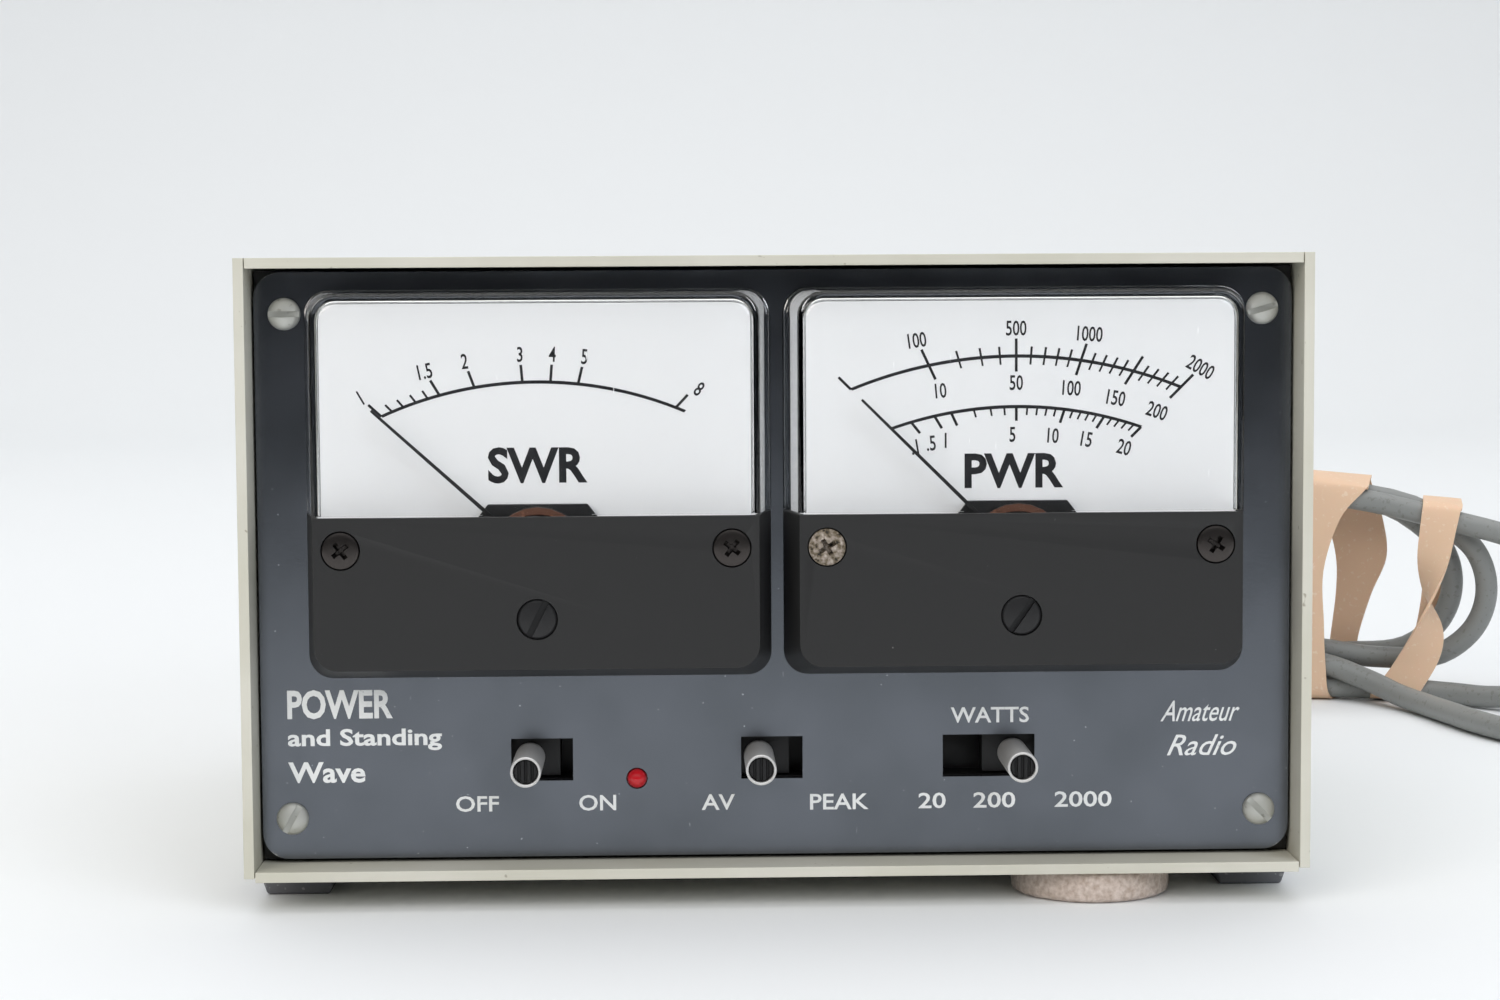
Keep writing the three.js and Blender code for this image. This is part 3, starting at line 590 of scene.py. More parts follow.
def tail_route():
    steps = [
        (142, 60.2, 5.4),
        (146.8, 50.9, 3.3),
        (149.9, 39.4, 2.7),
        (152, 26.9, 2.7),
        (154.4, 13.4, 2.7),
        (158.4, 0.4, 2.7),
        (164.8, -10.1, 2.7),
        (172.4, -19.1, 3.7),
        (178, -27.4, 5.9),
        (180, -34.8, 7.1),
    ]
    return [Vector((x * mm, back_y + y * mm, z * mm)) for x, y, z in steps]


handle_share = 0.34  # of the way to the next point, which keeps a turn's arcs round


def make_cord(points):
    data = bpy.data.curves.new("sensor_cord", "CURVE")
    data.dimensions = "3D"
    data.bevel_depth = cord_radius
    data.bevel_resolution = 6
    data.resolution_u = 8
    data.use_fill_caps = True
    spline = data.splines.new("BEZIER")
    spline.bezier_points.add(len(points) - 1)
    steps = [after - here for here, after in zip(points, points[1:])]
    steps = [steps[0], *steps, steps[-1]]
    for knot, here, came, goes in zip(spline.bezier_points, points, steps, steps[1:]):
        along = (came.normalized() * goes.length + goes.normalized() * came.length).normalized()
        knot.co = here
        knot.handle_left = here - along * came.length * handle_share
        knot.handle_right = here + along * goes.length * handle_share
    data.materials.append(pvc_jacket)
    piece = in_scene("sensor_cord", data)
    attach(piece, "chassis")
    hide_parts("cable_lead", "cable_hank", "cable_tail")
    return piece


def in_mm(*points):
    """A profile in metres, from (radius, y) points in millimetres."""
    return [(radius * mm, y * mm) for radius, y in points]


def make_relief():
    """A moulded bush with a flange against the rear wall and a ribbed taper."""
    low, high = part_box("cable_strain_relief")
    flange = back_y + 0.2 * mm
    neck = 4.4 * mm
    profile = [(0, low.y), (neck, low.y), (neck, flange), (6.2 * mm, flange)]
    profile += [(6.4 * mm, flange + 0.3 * mm), (6.4 * mm, flange + 1.6 * mm)]
    profile += [(6.1 * mm, flange + 2 * mm), (4.9 * mm, flange + 2.2 * mm)]
    ribs = 6
    first_rib = flange + 3.2 * mm
    pitch = (high.y - first_rib) / ribs
    groove = 0.7 * mm
    for rib in range(ribs):
        outer = (4.7 - 0.19 * rib) * mm
        y = first_rib + rib * pitch
        profile += [(outer, y), (outer, y + 0.58 * pitch)]
        profile += [(outer - groove, y + 0.68 * pitch), (outer - groove, y + 0.92 * pitch)]
    profile += [(3.2 * mm, high.y), (0, high.y)]
    shape = moved(lathe(profile, 40), at(relief_x, 0, relief_z))
    return to_piece("strain_relief", shape, black_abs, ["cable_strain_relief"])


def make_plug():
    """A round sensor plug: a soft sleeve on the cord, a knurled grip and a plain metal nose with its pins."""
    radius_mm = 7.2
    ridges = 72
    plug_turn = 8.0214
    sleeve = in_mm((0, 0), (3.1, 0), (3.4, 0.4), (4.0, 8.6), (5.2, 9.2), (6.8, 9.8))
    grip = in_mm((7.0, 10.6), (radius_mm, 25.8), (6.9, 27), (6.5, 27.4))
    nose = in_mm((6.5, 37.7), (6.3, 38), (5.7, 38), (5.6, 29), (0, 29))
    shape = lathe(sleeve + grip + nose, ridges)
    for vertex in shape.verts:
        if 11 * mm < vertex.co.y < 25.9 * mm and vertex.co.xz.length > 6.5 * mm:
            number = round(math.atan2(vertex.co.z, vertex.co.x) / (2 * math.pi) * ridges)
            vertex.co.xz *= 1 - 0.02 * (number % 2)
    for turn in (45, 135, 225, 315):
        pin = lathe(in_mm((0, 29), (0.75, 29), (0.75, 36), (0, 36.6)), 12)
        x, z = 3 * mm * math.cos(math.radians(turn)), 3 * mm * math.sin(math.radians(turn))
        shape = joined(shape, moved(pin, at(x, 0, z)))
    place = at(180.1 * mm, back_y - 35.6 * mm, (radius_mm + 0.1) * mm) @ spin(180 + plug_turn, "Z")
    return to_piece("sensor_plug_body", moved(shape, place), nickel, ["sensor_plug"])


strip_half_thickness = 0.35
# Round the strip's section: shares of its half width and of its half thickness.
strip_section = ((-1, -1), (-0.5, -1.1), (0.5, -1.1), (1, -1), (1, 1), (0.5, 1.1), (-0.5, 1.1), (-1, 1))
points_per_station = 6


def ribbon(name, stations, node):
    """A rubber band: a closed strip through stations, each a place along the hank, across it and above the
    table, a half width and a twist in degrees."""
    count = len(stations)
    half_twists = round(stations[-1][4] / 180)

    def station_at(number):
        lap, index = divmod(number, count)
        return Vector((*stations[index][:4], stations[index][4] + 180 * half_twists * lap))

    fine = []
    for number in range(count):
        before, here, after, beyond = (station_at(number + k) for k in (-1, 0, 1, 2))
        square = 2 * before - 5 * here + 4 * after - beyond
        cube = 3 * here - before - 3 * after + beyond
        for part in range(points_per_station):
            t = part / points_per_station
            fine.append(0.5 * (2 * here + (after - before) * t + square * t * t + cube * t * t * t))
    shape = bmesh.new()
    rows = []
    for number, station in enumerate(fine):
        before, after = fine[number - 1], fine[(number + 1) % len(fine)]
        tangent = Vector((0, after[1] - before[1], after[2] - before[2])).normalized()
        outward = Vector((0, tangent.z, -tangent.y))
        twist = math.radians(station[4])
        wide = Vector((math.cos(twist), 0, 0)) + outward * math.sin(twist)
        flat = outward * math.cos(twist) - Vector((math.sin(twist), 0, 0))
        centre = Vector(station[:3])
        row = []
        for side, face in strip_section:
            point = centre + wide * side * station[3] + flat * face * strip_half_thickness
            row.append(shape.verts.new(in_hank(*point)))
        rows.append(row)
    shift = 4 * (half_twists % 2)  # a strip with an odd number of half twists joins the other way up
    rows.append(rows[0][shift:] + rows[0][:shift])
    for row, after in zip(rows, rows[1:]):
        skin(shape, row, after)
    return to_piece(name, face_out(shape), crepe_rubber, [node], crease=60)


def make_bands():
    left = [
        (141, -6.6, 50.4, 8.0, -9),
        (140.6, -8.3, 48.6, 7.4, -6),
        (137, -8.7, 42, 5.6, 0),
        (134.6, -8.6, 30, 4.4, 0),
        (134.8, -8.6, 18, 4.4, 0),
        (135, -8.6, 9, 4.6, 0),
        (136, -7.4, 1.0, 4.6, 0),
        (140, 5.5, 0.7, 4.0, 0),
        (142.5, 8.4, 4, 3.4, 0),
        (143.5, 8.6, 13, 3.2, -8),
        (145.5, 8.4, 23, 4.2, -20),
        (147.2, 8.4, 32, 6.0, -16),
        (145.5, 8.4, 41, 6.6, -6),
        (142, 8.2, 49.4, 7.4, 0),
        (141.5, 6.6, 51.4, 8.0, -4),
        (141.2, 0, 51.3, 8.0, -8),
    ]
    right = [
        (165.5, -6.4, 45.2, 4.4, -8),
        (165, -8.2, 43, 4.2, -4),
        (163.8, -8.6, 35, 3.8, 12),
        (162.8, -8.5, 26, 3.4, 66),
        (162.6, -8.8, 17, 4.0, 140),
        (160, -9.0, 9.5, 4.8, 176),
        (155, -8.8, 1.6, 5.2, 180),
        (156, 5.0, 0.7, 4.0, 180),
        (160, 8.2, 4, 3.2, 180),
        (164, 8.6, 22, 3.0, 180),
        (165.5, 8.4, 42.8, 3.8, 180),
        (165.5, 6.4, 45.8, 4.2, 176),
        (165.5, 0, 45.7, 4.4, 173),
    ]
    return [
        ribbon("rubber_band_wide", left, "rubber_band_left"),
        ribbon("rubber_band_narrow", right, "rubber_band_right"),
    ]


cord = make_cord(lead_route() + hank_route() + tail_route())
cord_pieces = [make_relief(), make_plug(), *make_bands()]


# ---- Case, front panel and inner parts ----
for node in ("chassis_pan", "top_cover", "left_side_panel", "right_side_panel"):
    finer(node, 0.35, 3)
finer("front_panel", 0.2, 2)
finer("front_frame", 0.2, 2)
for name in switches:
    finer(f"{name}_body", 0.15, 1)
    finer(f"{name}_slider", 0.12, 2)
for name in meters:
    finer(f"{name}_housing", 0.3, 2)
    finer(f"{name}_magnet_yoke", 0.3, 2)
    finer(f"{name}_dial_plate", 0.1, 1)
    finer(f"{name}_lower_cover", 0.55, 3)
    finer(f"{name}_needle", 0.05, 1)
    finer(f"{name}_coil", 0.4, 3)
for end in ("front", "back"):
    for side in ("left", "right"):
        finer(f"foot_{end}_{side}", 0.5, 3)
finer("circuit_board", 0.2, 1)
finer("battery", 1.2, 3)


# ---- Screws ----
def dome(radius, rim, crown):
    """The profile of a screw head that rises from its rim's height to its crown's, towards the viewer."""
    steps = 8
    points = []
    for step in range(steps + 1):
        angle = math.pi / 2 * step / steps
        points.append((radius * math.sin(angle), -(rim + (crown - rim) * math.cos(angle))))
    points.append((radius, 0))
    return points


def slotted_screw(node, slot_angle):
    low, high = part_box(node)
    span = high - low
    sideways = span.x > span.y
    radius = span.z / 2
    shank = 1.35 * mm
    crown = 1.75 * mm
    shank_end = (span.x if sideways else span.y) - crown
    profile = dome(radius, 0.35 * mm, crown) + [(shank, 0), (shank, shank_end), (0, shank_end)]
    slot = brick((-radius * 1.2, -2 * crown, -0.5 * mm), (radius * 1.2, -0.75 * mm, 0.5 * mm), 0.9)
    shape = carve(lathe(profile), [moved(slot, spin(-slot_angle))])
    centre = middle(node)
    if sideways:
        side = 1 if low.x > 0 else -1
        head_x = high.x - crown if side > 0 else low.x + crown
        place = at(head_x, centre.y, centre.z) @ spin(side * 90, "Z")
    else:
        place = at(centre.x, low.y + crown, centre.z)
    to_piece(f"{node}_domed", moved(shape, place), zinc, [node], crease=30)


slot_angles = {"top_left": 0, "top_right": 16, "bottom_left": 60, "bottom_right": -45}
for corner, slot_angle in slot_angles.items():
    slotted_screw(f"panel_screw_{corner}", slot_angle)
for side in ("left", "right"):
    slotted_screw(f"side_screw_{side}_front", 30)
    slotted_screw(f"side_screw_{side}_back", 65)


def cross_screw(node, turn, material):
    low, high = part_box(node)
    crown = 0.45 * mm
    head_back = 1.4 * mm
    shank = 1.3 * mm
    length = high.y - low.y
    radius = (high.x - low.x) / 2
    head = dome(radius, 0.0, crown) + [(radius, head_back)]
    profile = head + [(shank, head_back), (shank, length), (0, length)]
    blade_low, blade_high = (-1.65 * mm, -2 * crown, -0.42 * mm), (1.65 * mm, 0.9 * mm, 0.42 * mm)
    core_low, core_high = (-0.75 * mm, -2 * crown, -0.75 * mm), (0.75 * mm, 1.1 * mm, 0.75 * mm)
    recess = [moved(brick(blade_low, blade_high, 0.55), spin(turn + quarter)) for quarter in (0, 90)]
    recess.append(moved(brick(core_low, core_high, 0.4), spin(turn + 45)))
    shape = moved(carve(lathe(profile), recess), at(middle(node).x, low.y, middle(node).z))
    to_piece(f"{node}_domed", shape, material, [node], crease=30)


cross_screw("swr_meter_cover_screw_left", 52, black_oxide)
cross_screw("swr_meter_cover_screw_right", 38, black_oxide)
cross_screw("power_meter_cover_screw_left", 60, corroded)
cross_screw("power_meter_cover_screw_right", 33, black_oxide)


def zero_screw(name, turn):
    """A moulded adjuster with a slightly crowned face, a square slot and an off-centre pin at its back."""
    node = f"{name}_zero_screw"
    low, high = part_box(node)
    shoulder = (high.x - low.x) / 2
    crown = 0.15 * mm
    back = 3.1
    profile = in_mm((0, -0.15), (1.6, -0.08), (2.7, 0.1), (3, 0.35), (3, 1.9))
    profile += [(shoulder, 1.9 * mm), (shoulder, back * mm), (0, back * mm)]
    slot = brick((-5 * mm, -1 * mm, -0.5 * mm), (5 * mm, 0.8 * mm, 0.5 * mm))
    shape = carve(lathe(profile, 64), [moved(slot, spin(-turn))])
    pin = lathe(in_mm((0, back), (0.5, back), (0.5, back + 0.6), (0, back + 0.6)), 12)
    shape = joined(shape, moved(pin, at(0, 0, 1.8 * mm)))
    shape = moved(shape, at(middle(node).x, low.y + crown, middle(node).z))
    to_piece(f"{node}_moulded", shape, phenolic, [node], body_of(node), crease=30)


zero_screw("swr_meter", 63)
zero_screw("power_meter", 55)


# ---- Knobs and lamp ----
def knob_sleeve(name):
    """A cut length of drawn tube with its edges broken."""
    node = f"{name}_knob_sleeve"
    low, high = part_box(node)
    outer, bore, edge = (high.x - low.x) / 2, 1.95 * mm, 0.12 * mm
    length = high.y - low.y
    profile = [(outer - edge, 0), (outer, edge), (outer, length)]
    profile += [(bore, length), (bore, edge), (bore + edge, 0)]
    shape = moved(lathe(profile, 64, closed=True), at(middle(node).x, low.y, middle(node).z))
    to_piece(f"{node}_drawn", shape, drawn_tube, [node], body_of(node), crease=30)


for name in switches:
    knob_sleeve(name)


def lamp():
    """A small round lens with a flange behind the panel, and inside it the bright cup and post that the
    light comes from."""
    radius = 1.5
    place = at(middle("power_lamp").x, panel_y, panel_low.z + 12.2 * mm)
    profile = []
    for step in range(11):
        angle = math.radians(9 * step)
        profile.append((radius * math.sin(angle) * mm, -radius * math.cos(angle) * mm))
    profile += in_mm((radius, 1.9), (1.9, 1.9), (1.9, 2.9), (radius, 2.9), (radius, 4), (0, 4))
    to_piece("power_lamp_lens", moved(lathe(profile, 40), place), red_epoxy_painted_glow, ["power_lamp"])
    cup = lathe(in_mm((0.15, 0.9), (0.75, 0.1), (0.85, 0.1), (0.4, 1.2)), 24, closed=True)
    post = brick((-0.9 * mm, 0.2 * mm, -1.0 * mm), (-0.55 * mm, 3.4 * mm, -0.7 * mm))
    left_lead = brick((-1.2 * mm, 3.0 * mm, -0.25 * mm), (-0.7 * mm, 6.2 * mm, 0.25 * mm))
    right_lead = brick((0.7 * mm, 3.0 * mm, -0.25 * mm), (1.2 * mm, 6.2 * mm, 0.25 * mm))
    inner = moved(joined(cup, post, left_lead, right_lead), place)
    to_piece("power_lamp_frame", inner, zinc)


lamp()


# ---- Meter windows ----
cover_depth = 10.8 * mm
cover_corner = 3.8 * mm
# A cover's size at its face, and how much it has grown at its back, in millimetres: half its width,
# then what is above the needle's pivot and below it.
cover_face = (33.9, 40.4, 16.8)
cover_flare = (2.1, 0.6, 2.45)
window_wall = 1.0 * mm
window_edge = 0.7 * mm
inner_edge = 0.6 * mm


def cover_outline(depth, inset, pivot_z):
    """Points round a meter cover at a depth behind its face, moved in by an inset."""
    steps = 10
    share = depth / cover_depth
    half, above, below = ((face + flare * share) * mm - inset for face, flare in zip(cover_face, cover_flare))
    radius = max(cover_corner - inset * 0.6, 1.0 * mm)
    top = pivot_z + above - radius
    bottom = pivot_z - below + radius
    side = half - radius
    points = []
    for x, z, first in ((side, top, 0), (-side, top, 90), (-side, bottom, 180), (side, bottom, 270)):
        for step in range(steps + 1):
            angle = math.radians(first + 90 * step / steps)
            points.append((x + radius * math.cos(angle), z + radius * math.sin(angle)))
    return points


def rounded_edge(size, steps):
    """(depth, inset) pairs round a quarter circle, from the side to the face."""
    angles = [math.pi / 2 * step / steps for step in range(steps + 1)]
    return [(size * (1 - math.sin(angle)), size * (1 - math.cos(angle))) for angle in angles]


def window(name):
    node = f"{name}_window"
    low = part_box(node)[0]
    centre_x = middle(node).x
    pivot_z = middle(f"{name}_magnet_yoke").z
    outside = [(cover_depth, 0), (window_edge + 0.3 * mm, 0), *rounded_edge(window_edge, 4)]
    outside.append((0, window_edge + 0.4 * mm))
    inside = [(cover_depth, window_wall), (window_wall + 0.9 * mm, window_wall)]
    inside += [(window_wall + depth, window_wall + inset) for depth, inset in rounded_edge(inner_edge, 3)]
    inside.append((window_wall, window_wall + 1.0 * mm))
    shape = bmesh.new()
    back_rings = []
    for stations in (outside, inside):
        rings = []
        for depth, inset in stations:
            outline = cover_outline(depth, inset, pivot_z)
            rings.append([shape.verts.new((centre_x + x, low.y + depth, z)) for x, z in outline])
        for near, far in zip(rings, rings[1:]):
            skin(shape, near, far)
        shape.faces.new(rings[-1])
        back_rings.append(rings[0])
    skin(shape, *back_rings)
    face_out(shape)
    everything = [*shape.verts, *shape.edges, *shape.faces]
    cut = {"plane_co": (0, 0, low.z), "plane_no": (0, 0, -1), "clear_outer": True}
    bmesh.ops.bisect_plane(shape, geom=everything, **cut)
    rim = [edge for edge in shape.edges if edge.is_boundary]
    bmesh.ops.triangle_fill(shape, edges=rim, use_beauty=True)
    to_piece(f"{name}_window_clear", face_out(shape), acrylic, [node], crease=40)


for name in meters:
    window(name)


# ---- Bridges: black enamelled plates with a brown fibre ring round the staff ----
def bridge(name):
    node = f"{name}_bridge"
    piece = finer(node, 0.15, 2)
    piece.data.materials.append(brown_fibre)
    ring_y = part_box(node)[0].y + 0.15 * mm
    for face in piece.data.polygons:
        if all(piece.data.vertices[i].co.y < ring_y for i in face.vertices):
            face.material_index = 1


for name in meters:
    bridge(name)


# ---- Printing ----
ink_thickness = 0.02 * mm
letter_width = 0.68  # of the typeface's own width, where a word's width isn't given


def prism(outline, y):
    """A thin flat of ink from an outline of (x, z) points, with its back at y."""
    shape = bmesh.new()
    front = [shape.verts.new((x, y - ink_thickness, z)) for x, z in outline]
    back = [shape.verts.new((x, y, z)) for x, z in outline]
    shape.faces.new(front)
    shape.faces.new(back)
    skin(shape, front, back)
    return face_out(shape)


def words(text, x, y, z, height, width=None, turn=0, heavy=0.0, slant=0.0):
    """Lettering centred on x, z with its back at y. Its height is a capital's, its width the whole word's,
    and turn is clockwise in degrees."""
    data = bpy.data.curves.new("work", "FONT")
    data.body = text
    data.extrude = 0.02
    data.offset = heavy
    data.shear = slant
    data.resolution_u = 3
    thing = in_scene("work", data)
    bpy.context.view_layer.update()
    shape = bmesh.new()
    evaluated = thing.evaluated_get(bpy.context.evaluated_depsgraph_get())
    shape.from_mesh(evaluated.to_mesh())
    evaluated.to_mesh_clear()
    bpy.data.objects.remove(thing)
    bpy.data.curves.remove(data)
    bmesh.ops.remove_doubles(shape, verts=shape.verts, dist=1e-5)
    xs = [vertex.co.x for vertex in shape.verts]
    ys = [vertex.co.y for vertex in shape.verts]
    scale_z = height / (max(ys) - min(ys))
    scale_x = width / (max(xs) - min(xs)) if width else scale_z * letter_width
    centre_x, centre_y = (max(xs) + min(xs)) / 2, (max(ys) + min(ys)) / 2
    for vertex in shape.verts:
        depth = 0 if vertex.co.z < 0 else -ink_thickness
        flat = Vector(((vertex.co.x - centre_x) * scale_x, 0, (vertex.co.y - centre_y) * scale_z))
        flat = spin(turn) @ flat
        vertex.co = (x + flat.x, y + depth, z + flat.z)
    return face_out(shape)


# Marks on the dials: length, outwards from the arc, and width, in millimetres.
long_mark = (2.7, 0.42)
short_mark = (1.5, 0.34)
long_inward_mark = (-2.4, 0.42)
long_lower_mark = (-2.2, 0.42)
short_inward_mark = (-1.3, 0.3)
arc_thickness = 0.52 * mm


class Scale:
    """An arc on a dial, round its own centre below the needle's pivot, with marks that point at the pivot."""

    def __init__(self, name, top_mm, radius_mm):
        yoke = middle(f"{name}_magnet_yoke")
        self.x, self.pivot = yoke.x, yoke.z
        self.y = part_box(f"{name}_dial_plate")[0].y
        self.radius = radius_mm * mm
        self.drop = (radius_mm - top_mm) * mm
        self.shapes = []

    def reach(self, angle):
        """From the pivot out to the arc along a direction."""
        along = self.drop * math.cos(math.radians(angle))
        return math.sqrt(self.radius**2 - (self.drop * math.sin(math.radians(angle))) ** 2) - along

    def point(self, angle, distance):
        turn = math.radians(angle)
        return self.x + distance * math.sin(turn), self.pivot + distance * math.cos(turn)

    def arc(self, first, last):
        steps = 48
        angles = [first + (last - first) * i / steps for i in range(steps + 1)]
        outer = [self.point(angle, self.reach(angle) + arc_thickness / 2) for angle in angles]
        inner = [self.point(angle, self.reach(angle) - arc_thickness / 2) for angle in reversed(angles)]
        self.shapes.append(prism(outer + inner, self.y))

    def mark(self, angle, length, width):
        base = self.reach(angle)
        x0, z0 = self.point(angle, base)
        x1, z1 = self.point(angle, base + length * mm)
        turn = math.radians(angle)
        dx, dz = math.cos(turn) * width * mm / 2, -math.sin(turn) * width * mm / 2
        outline = [(x0 - dx, z0 - dz), (x0 + dx, z0 + dz), (x1 + dx, z1 + dz), (x1 - dx, z1 - dz)]
        self.shapes.append(prism(outline, self.y - 0.003 * mm))

    def label(self, text, angle, offset_mm, turn=0):
        x, z = self.point(angle, self.reach(angle) + offset_mm * mm)
        self.shapes.append(words(text, x, self.y, z, 2.35 * mm, turn=turn, heavy=0.014))


def swr_print():
    scale = Scale("swr_meter", 26.8, 57.8)
    scale.arc(-47.8, 45.8)
    numbers = [("1", -47.8, -30), ("1.5", -31.0, -12), ("2", -20.2, -5), ("3", -4.7, 0), ("4", 4.5, 2)]
    numbers.append(("5", 13.5, 4))
    for text, angle, turn in numbers:
        scale.mark(angle, *long_mark)
        scale.label(text, angle, 4.3, turn)
    scale.mark(43.2, *long_mark)
    scale.label("8", 44.3, 4.3, 35)
    for angle in (-44.8, -41.6, -38.0, -34.5):
        scale.mark(angle, *short_mark)
    title = words("SWR", scale.x, scale.y, case_bottom + 64 * mm, 5.6 * mm, 15.3 * mm, heavy=0.03)
    to_piece("swr_dial_print", joined(*scale.shapes, title), dial_ink)


power_first = -45.3
power_swing = 90.4


def power_angle(share):
    """The needle's angle at a share of full scale, where deflection follows the square root of power."""
    return power_first + power_swing * math.sqrt(share)


def power_print():
    upper = Scale("power_meter", 30.3, 68.0)
    upper.arc(power_first, power_angle(1))
    upper.mark(power_first, *long_mark)
    for watts in range(100, 2001, 100):
        main = watts in (100, 500, 1000, 1500, 2000)
        angle = power_angle(watts / 2000)
        upper.mark(angle, *(long_mark if main else short_mark))
        upper.mark(angle, *(long_inward_mark if main else short_inward_mark))
    for watts, turn in ((100, -8), (500, 0), (1000, 4), (2000, 30)):
        upper.label(str(watts), power_angle(watts / 2000), 4.3, turn)
    for watts, turn, drop in ((10, -5, 4.3), (50, 0, 4.1), (100, 4, 4.5), (150, 10, 4.9), (200, 20, 5.2)):
        upper.label(str(watts), power_angle(watts / 200), -drop, turn)
    lower = Scale("power_meter", 22.5, 58.9)
    lower.arc(power_first, power_angle(1))
    for watts in (0.1, 0.5, *range(1, 21)):
        main = watts in (0.1, 0.5, 1, 5, 10, 15, 20)
        lower.mark(power_angle(watts / 20), *(long_lower_mark if main else short_inward_mark))
    numbers = [(".1", -44.0, -10), (".5", -38.0, -5), ("1", -32.3, 0), ("5", -2.0, 0), ("10", 17.5, 4)]
    for text, angle, turn in numbers + [("15", 32.0, 10), ("20", 46.0, 16)]:
        lower.label(text, angle, -4.3, turn)
    title_place = (lower.x - 0.4 * mm, lower.y, case_bottom + 62.6 * mm)
    title = words("PWR", *title_place, 5.4 * mm, 15.3 * mm, heavy=0.03)
    to_piece("power_dial_print", joined(*upper.shapes, *lower.shapes, title), dial_ink)


swr_print()
power_print()

# Each group of lettering: its words with, in millimetres, the middle's place across, its height above
# the case's bottom, a capital's height and the word's width, and how much the strokes are thickened.
panel_words = {
    "power_switch_lettering": [("OFF", -47.0, 10.7, 2.5, 6.7, 0.014), ("ON", -28.2, 10.7, 2.5, 5.8, 0.014)],
    "average_peak_switch_lettering": [
        ("AV", -9.3, 10.6, 2.5, 5.2, 0.014),
        ("PEAK", 9.7, 10.5, 2.5, 9.2, 0.014),
    ],
    "range_switch_lettering": [
        ("WATTS", 33.4, 24.0, 2.5, 12.3, 0.014),
        ("20", 24.3, 10.5, 2.5, 4.3, 0.014),
        ("200", 34.1, 10.5, 2.5, 6.6, 0.014),
        ("2000", 48.1, 10.5, 2.5, 9.0, 0.014),
    ],
    "instrument_lettering": [
        ("POWER", -68.2, 26.6, 4.6, 16.4, 0.03),
        ("and Standing", -64.4, 21.0, 3.5, 24.0, 0.024),
        ("Wave", -70.4, 15.9, 3.3, 12.0, 0.024),
    ],
    "purpose_lettering": [("Amateur", 66.5, 24.3, 3.3, 12.5, 0.004), ("Radio", 66.8, 18.9, 3.3, 11.0, 0.004)],
}
script_slant = 0.45


def panel_print():
    """White lettering: what each switch does, plain words for the kind of instrument, and nobody's name."""
    for name, group in panel_words.items():
        slant = script_slant if name == "purpose_lettering" else 0.0
        made = []
        for text, x, z, height, width, heavy in group:
            place = (x * mm, panel_y, case_bottom + z * mm)
            made.append(words(text, *place, height * mm, width * mm, heavy=heavy, slant=slant))
        to_piece(name, joined(*made), white_ink)


panel_print()


# ---- Felt pad, with loose fibres round it ----
# Up the mat's side, in millimetres: the height, and how far the side swells out.
mat_side = [(0.15, -0.5), (0.6, 0.0), (1.2, 0.1), (2.0, 0.05)]
mat_side += [(2.8, 0.0), (3.6, -0.1), (4.3, -0.15), (4.8, -0.5)]
fibre_count = 700


def felt_pad():
    random.seed(7)
    low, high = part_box("felt_pad")
    centre = middle("felt_pad")
    radius = (high.x - low.x) / 2 - 0.2 * mm
    steps = 160
    shape = bmesh.new()
    rings = []
    for level, out in mat_side:
        ring = []
        z = low.z + level * mm
        for i in range(steps):
            turn = 2 * math.pi * i / steps
            r = radius + (out + random.uniform(-0.14, 0.1)) * mm - 0.1 * mm
            ring.append(shape.verts.new((centre.x + r * math.cos(turn), centre.y + r * math.sin(turn), z)))
        rings.append(ring)
    for near, far in zip(rings, rings[1:]):
        skin(shape, near, far)
    shape.faces.new(rings[-1])
    shape.faces.new(rings[0])
    to_piece("felt_pad_mat", face_out(shape), felt_finish, ["felt_pad"], crease=70)
    fibres = bmesh.new()
    for _ in range(fibre_count):
        turn = random.uniform(0, 2 * math.pi)
        outward = Vector((math.cos(turn), math.sin(turn), 0))
        height = random.triangular(0.15, 4.0, 0.4)
        base = Vector((centre.x, centre.y, low.z + height * mm)) + outward * (radius - 0.3 * mm)
        aim = outward * random.uniform(0.2, 1.0) + Vector((-outward.y, outward.x, 0)) * random.uniform(-1, 1)
        aim.z = random.uniform(-0.5, 0.4)
        length = random.uniform(0.3, 0.9) * mm
        tip = base + aim.normalized() * length
        tip.z = max(tip.z, 0.06 * mm)
        if (tip.xy - centre.xy).length > radius + 0.35 * mm:
            continue
        across = aim.cross(Vector((0, 0, 1))).normalized() * 0.03 * mm
        up = Vector((0, 0, 0.05 * mm))
        corners = [fibres.verts.new(p) for p in (base - across, base + across, base + up)]
        end = fibres.verts.new(tip)
        fibres.faces.new(corners)
        for i in range(3):
            fibres.faces.new((corners[i], corners[(i + 1) % 3], end))
    to_piece("felt_pad_fibres", face_out(fibres), felt_finish)


felt_pad()


# ---- Studio: a pale paper sweep, a large soft light above and softer ones at the sides ----
sweep_front = -0.66
sweep_bend = 1.3
bend_radius = 0.35
sweep_top = 2.0
sweep_half = 2.4


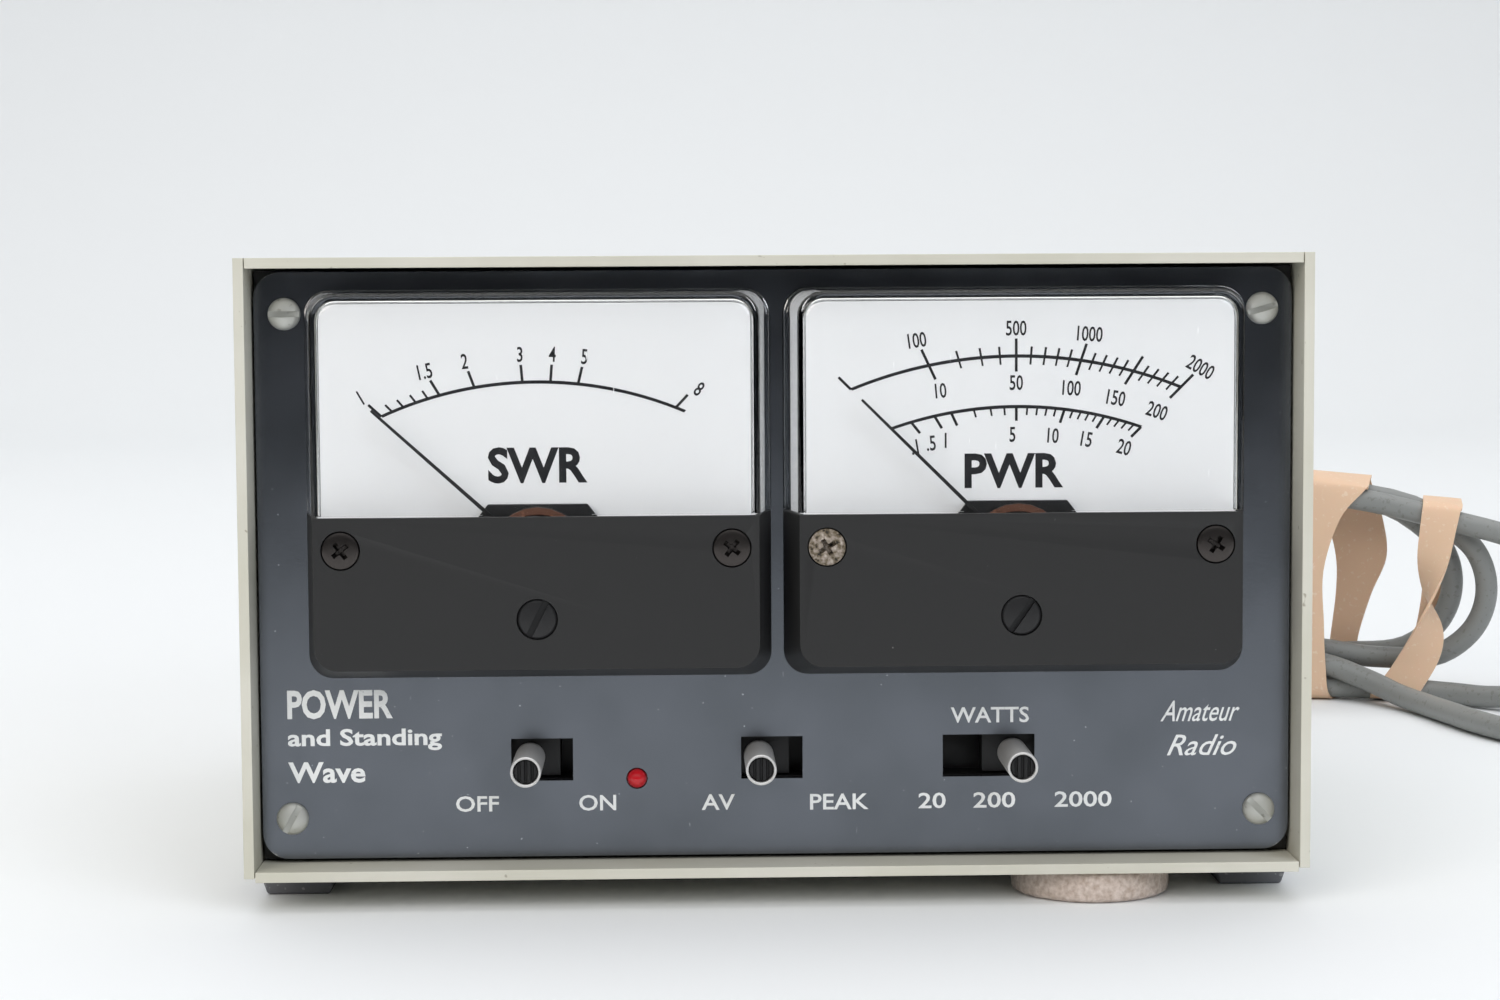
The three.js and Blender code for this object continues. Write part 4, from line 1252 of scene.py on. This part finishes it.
def sweep():
    paper, tree, shader, place = start("matt_white_paper", "#eef0f1", 0.7)
    tooth = add(tree, "TexNoise", {"Vector": place, "Scale": per_metre(2.0), "Detail": 2.0})
    add(tree, "Bump", {"Height": tooth, "Distance": 0.02 * mm, "Strength": 0.3}, into=shader["Normal"])
    path = [(sweep_front, 0.0), (sweep_bend, 0.0)]
    for step in range(1, 11):
        angle = math.radians(9 * step)
        path.append((sweep_bend + bend_radius * math.sin(angle), bend_radius * (1 - math.cos(angle))))
    path.append((sweep_bend + bend_radius, sweep_top))
    shape = bmesh.new()
    rows = [[shape.verts.new((x, y, z)) for x in (-sweep_half, sweep_half)] for y, z in path]
    for near, far in zip(rows, rows[1:]):
        shape.faces.new((near[0], near[1], far[1], far[0]))
    mesh = bpy.data.meshes.new("paper_sweep")
    shape.to_mesh(mesh)
    shape.free()
    mesh.shade_smooth()
    mesh.materials.append(paper)
    in_scene("paper_sweep", mesh)


def soft_light(name, place, aim, size, watts, colour="#ffffff", mirrored=True):
    data = bpy.data.lights.new(name, "AREA")
    data.shape = "RECTANGLE"
    data.size, data.size_y = size
    data.energy = watts
    data.color = linear(colour)[:3]
    light = in_scene(name, data)
    light.location = place
    light.rotation_euler = (Vector(aim) - Vector(place)).to_track_quat("-Z", "Y").to_euler()
    light.visible_glossy = mirrored


def room_light():
    """A pale plain room. What shines on the instrument is brighter overhead than at the table's level."""
    world = bpy.data.worlds.new("room")
    bpy.context.scene.world = world
    world.use_nodes = True
    tree = world.node_tree
    background = tree.nodes["Background"]
    direction = add(tree, "TexCoord").outputs["Generated"]
    height = add(tree, "SeparateXYZ", {"Vector": direction}).outputs["Z"]
    shades = [(0.28, "#1d1f22"), (0.7, "#f4f6f8")]
    add(tree, "ValToRGB", {"Fac": height}, shades, into=background.inputs["Color"])
    background.inputs["Strength"].default_value = 0.68
    plain = add(tree, "Background", {"Color": "#e4e6e8", "Strength": 1.0})
    camera_ray = add(tree, "LightPath").outputs["Is Camera Ray"]
    surface = tree.nodes["World Output"].inputs["Surface"]
    add(tree, "MixShader", {0: camera_ray, 1: background, 2: plain}, into=surface)


sweep()
room_light()
soft_light("overhead_light", (0.0, -0.05, 1.25), (0, 0.1, 0), (1.8, 1.3), 7.1)
soft_light("backdrop_light", (0.0, 0.9, 1.5), (0, 1.65, 0.35), (2.4, 0.6), 9, mirrored=False)
for side, x, tint in (("left", -0.8, "#fff8f2"), ("right", 0.8, "#f2f7ff")):
    soft_light(f"front_light_{side}", (x, -1.2, 0.75), (0, 0, 0.05), (1.0, 0.8), 9, tint, mirrored=False)
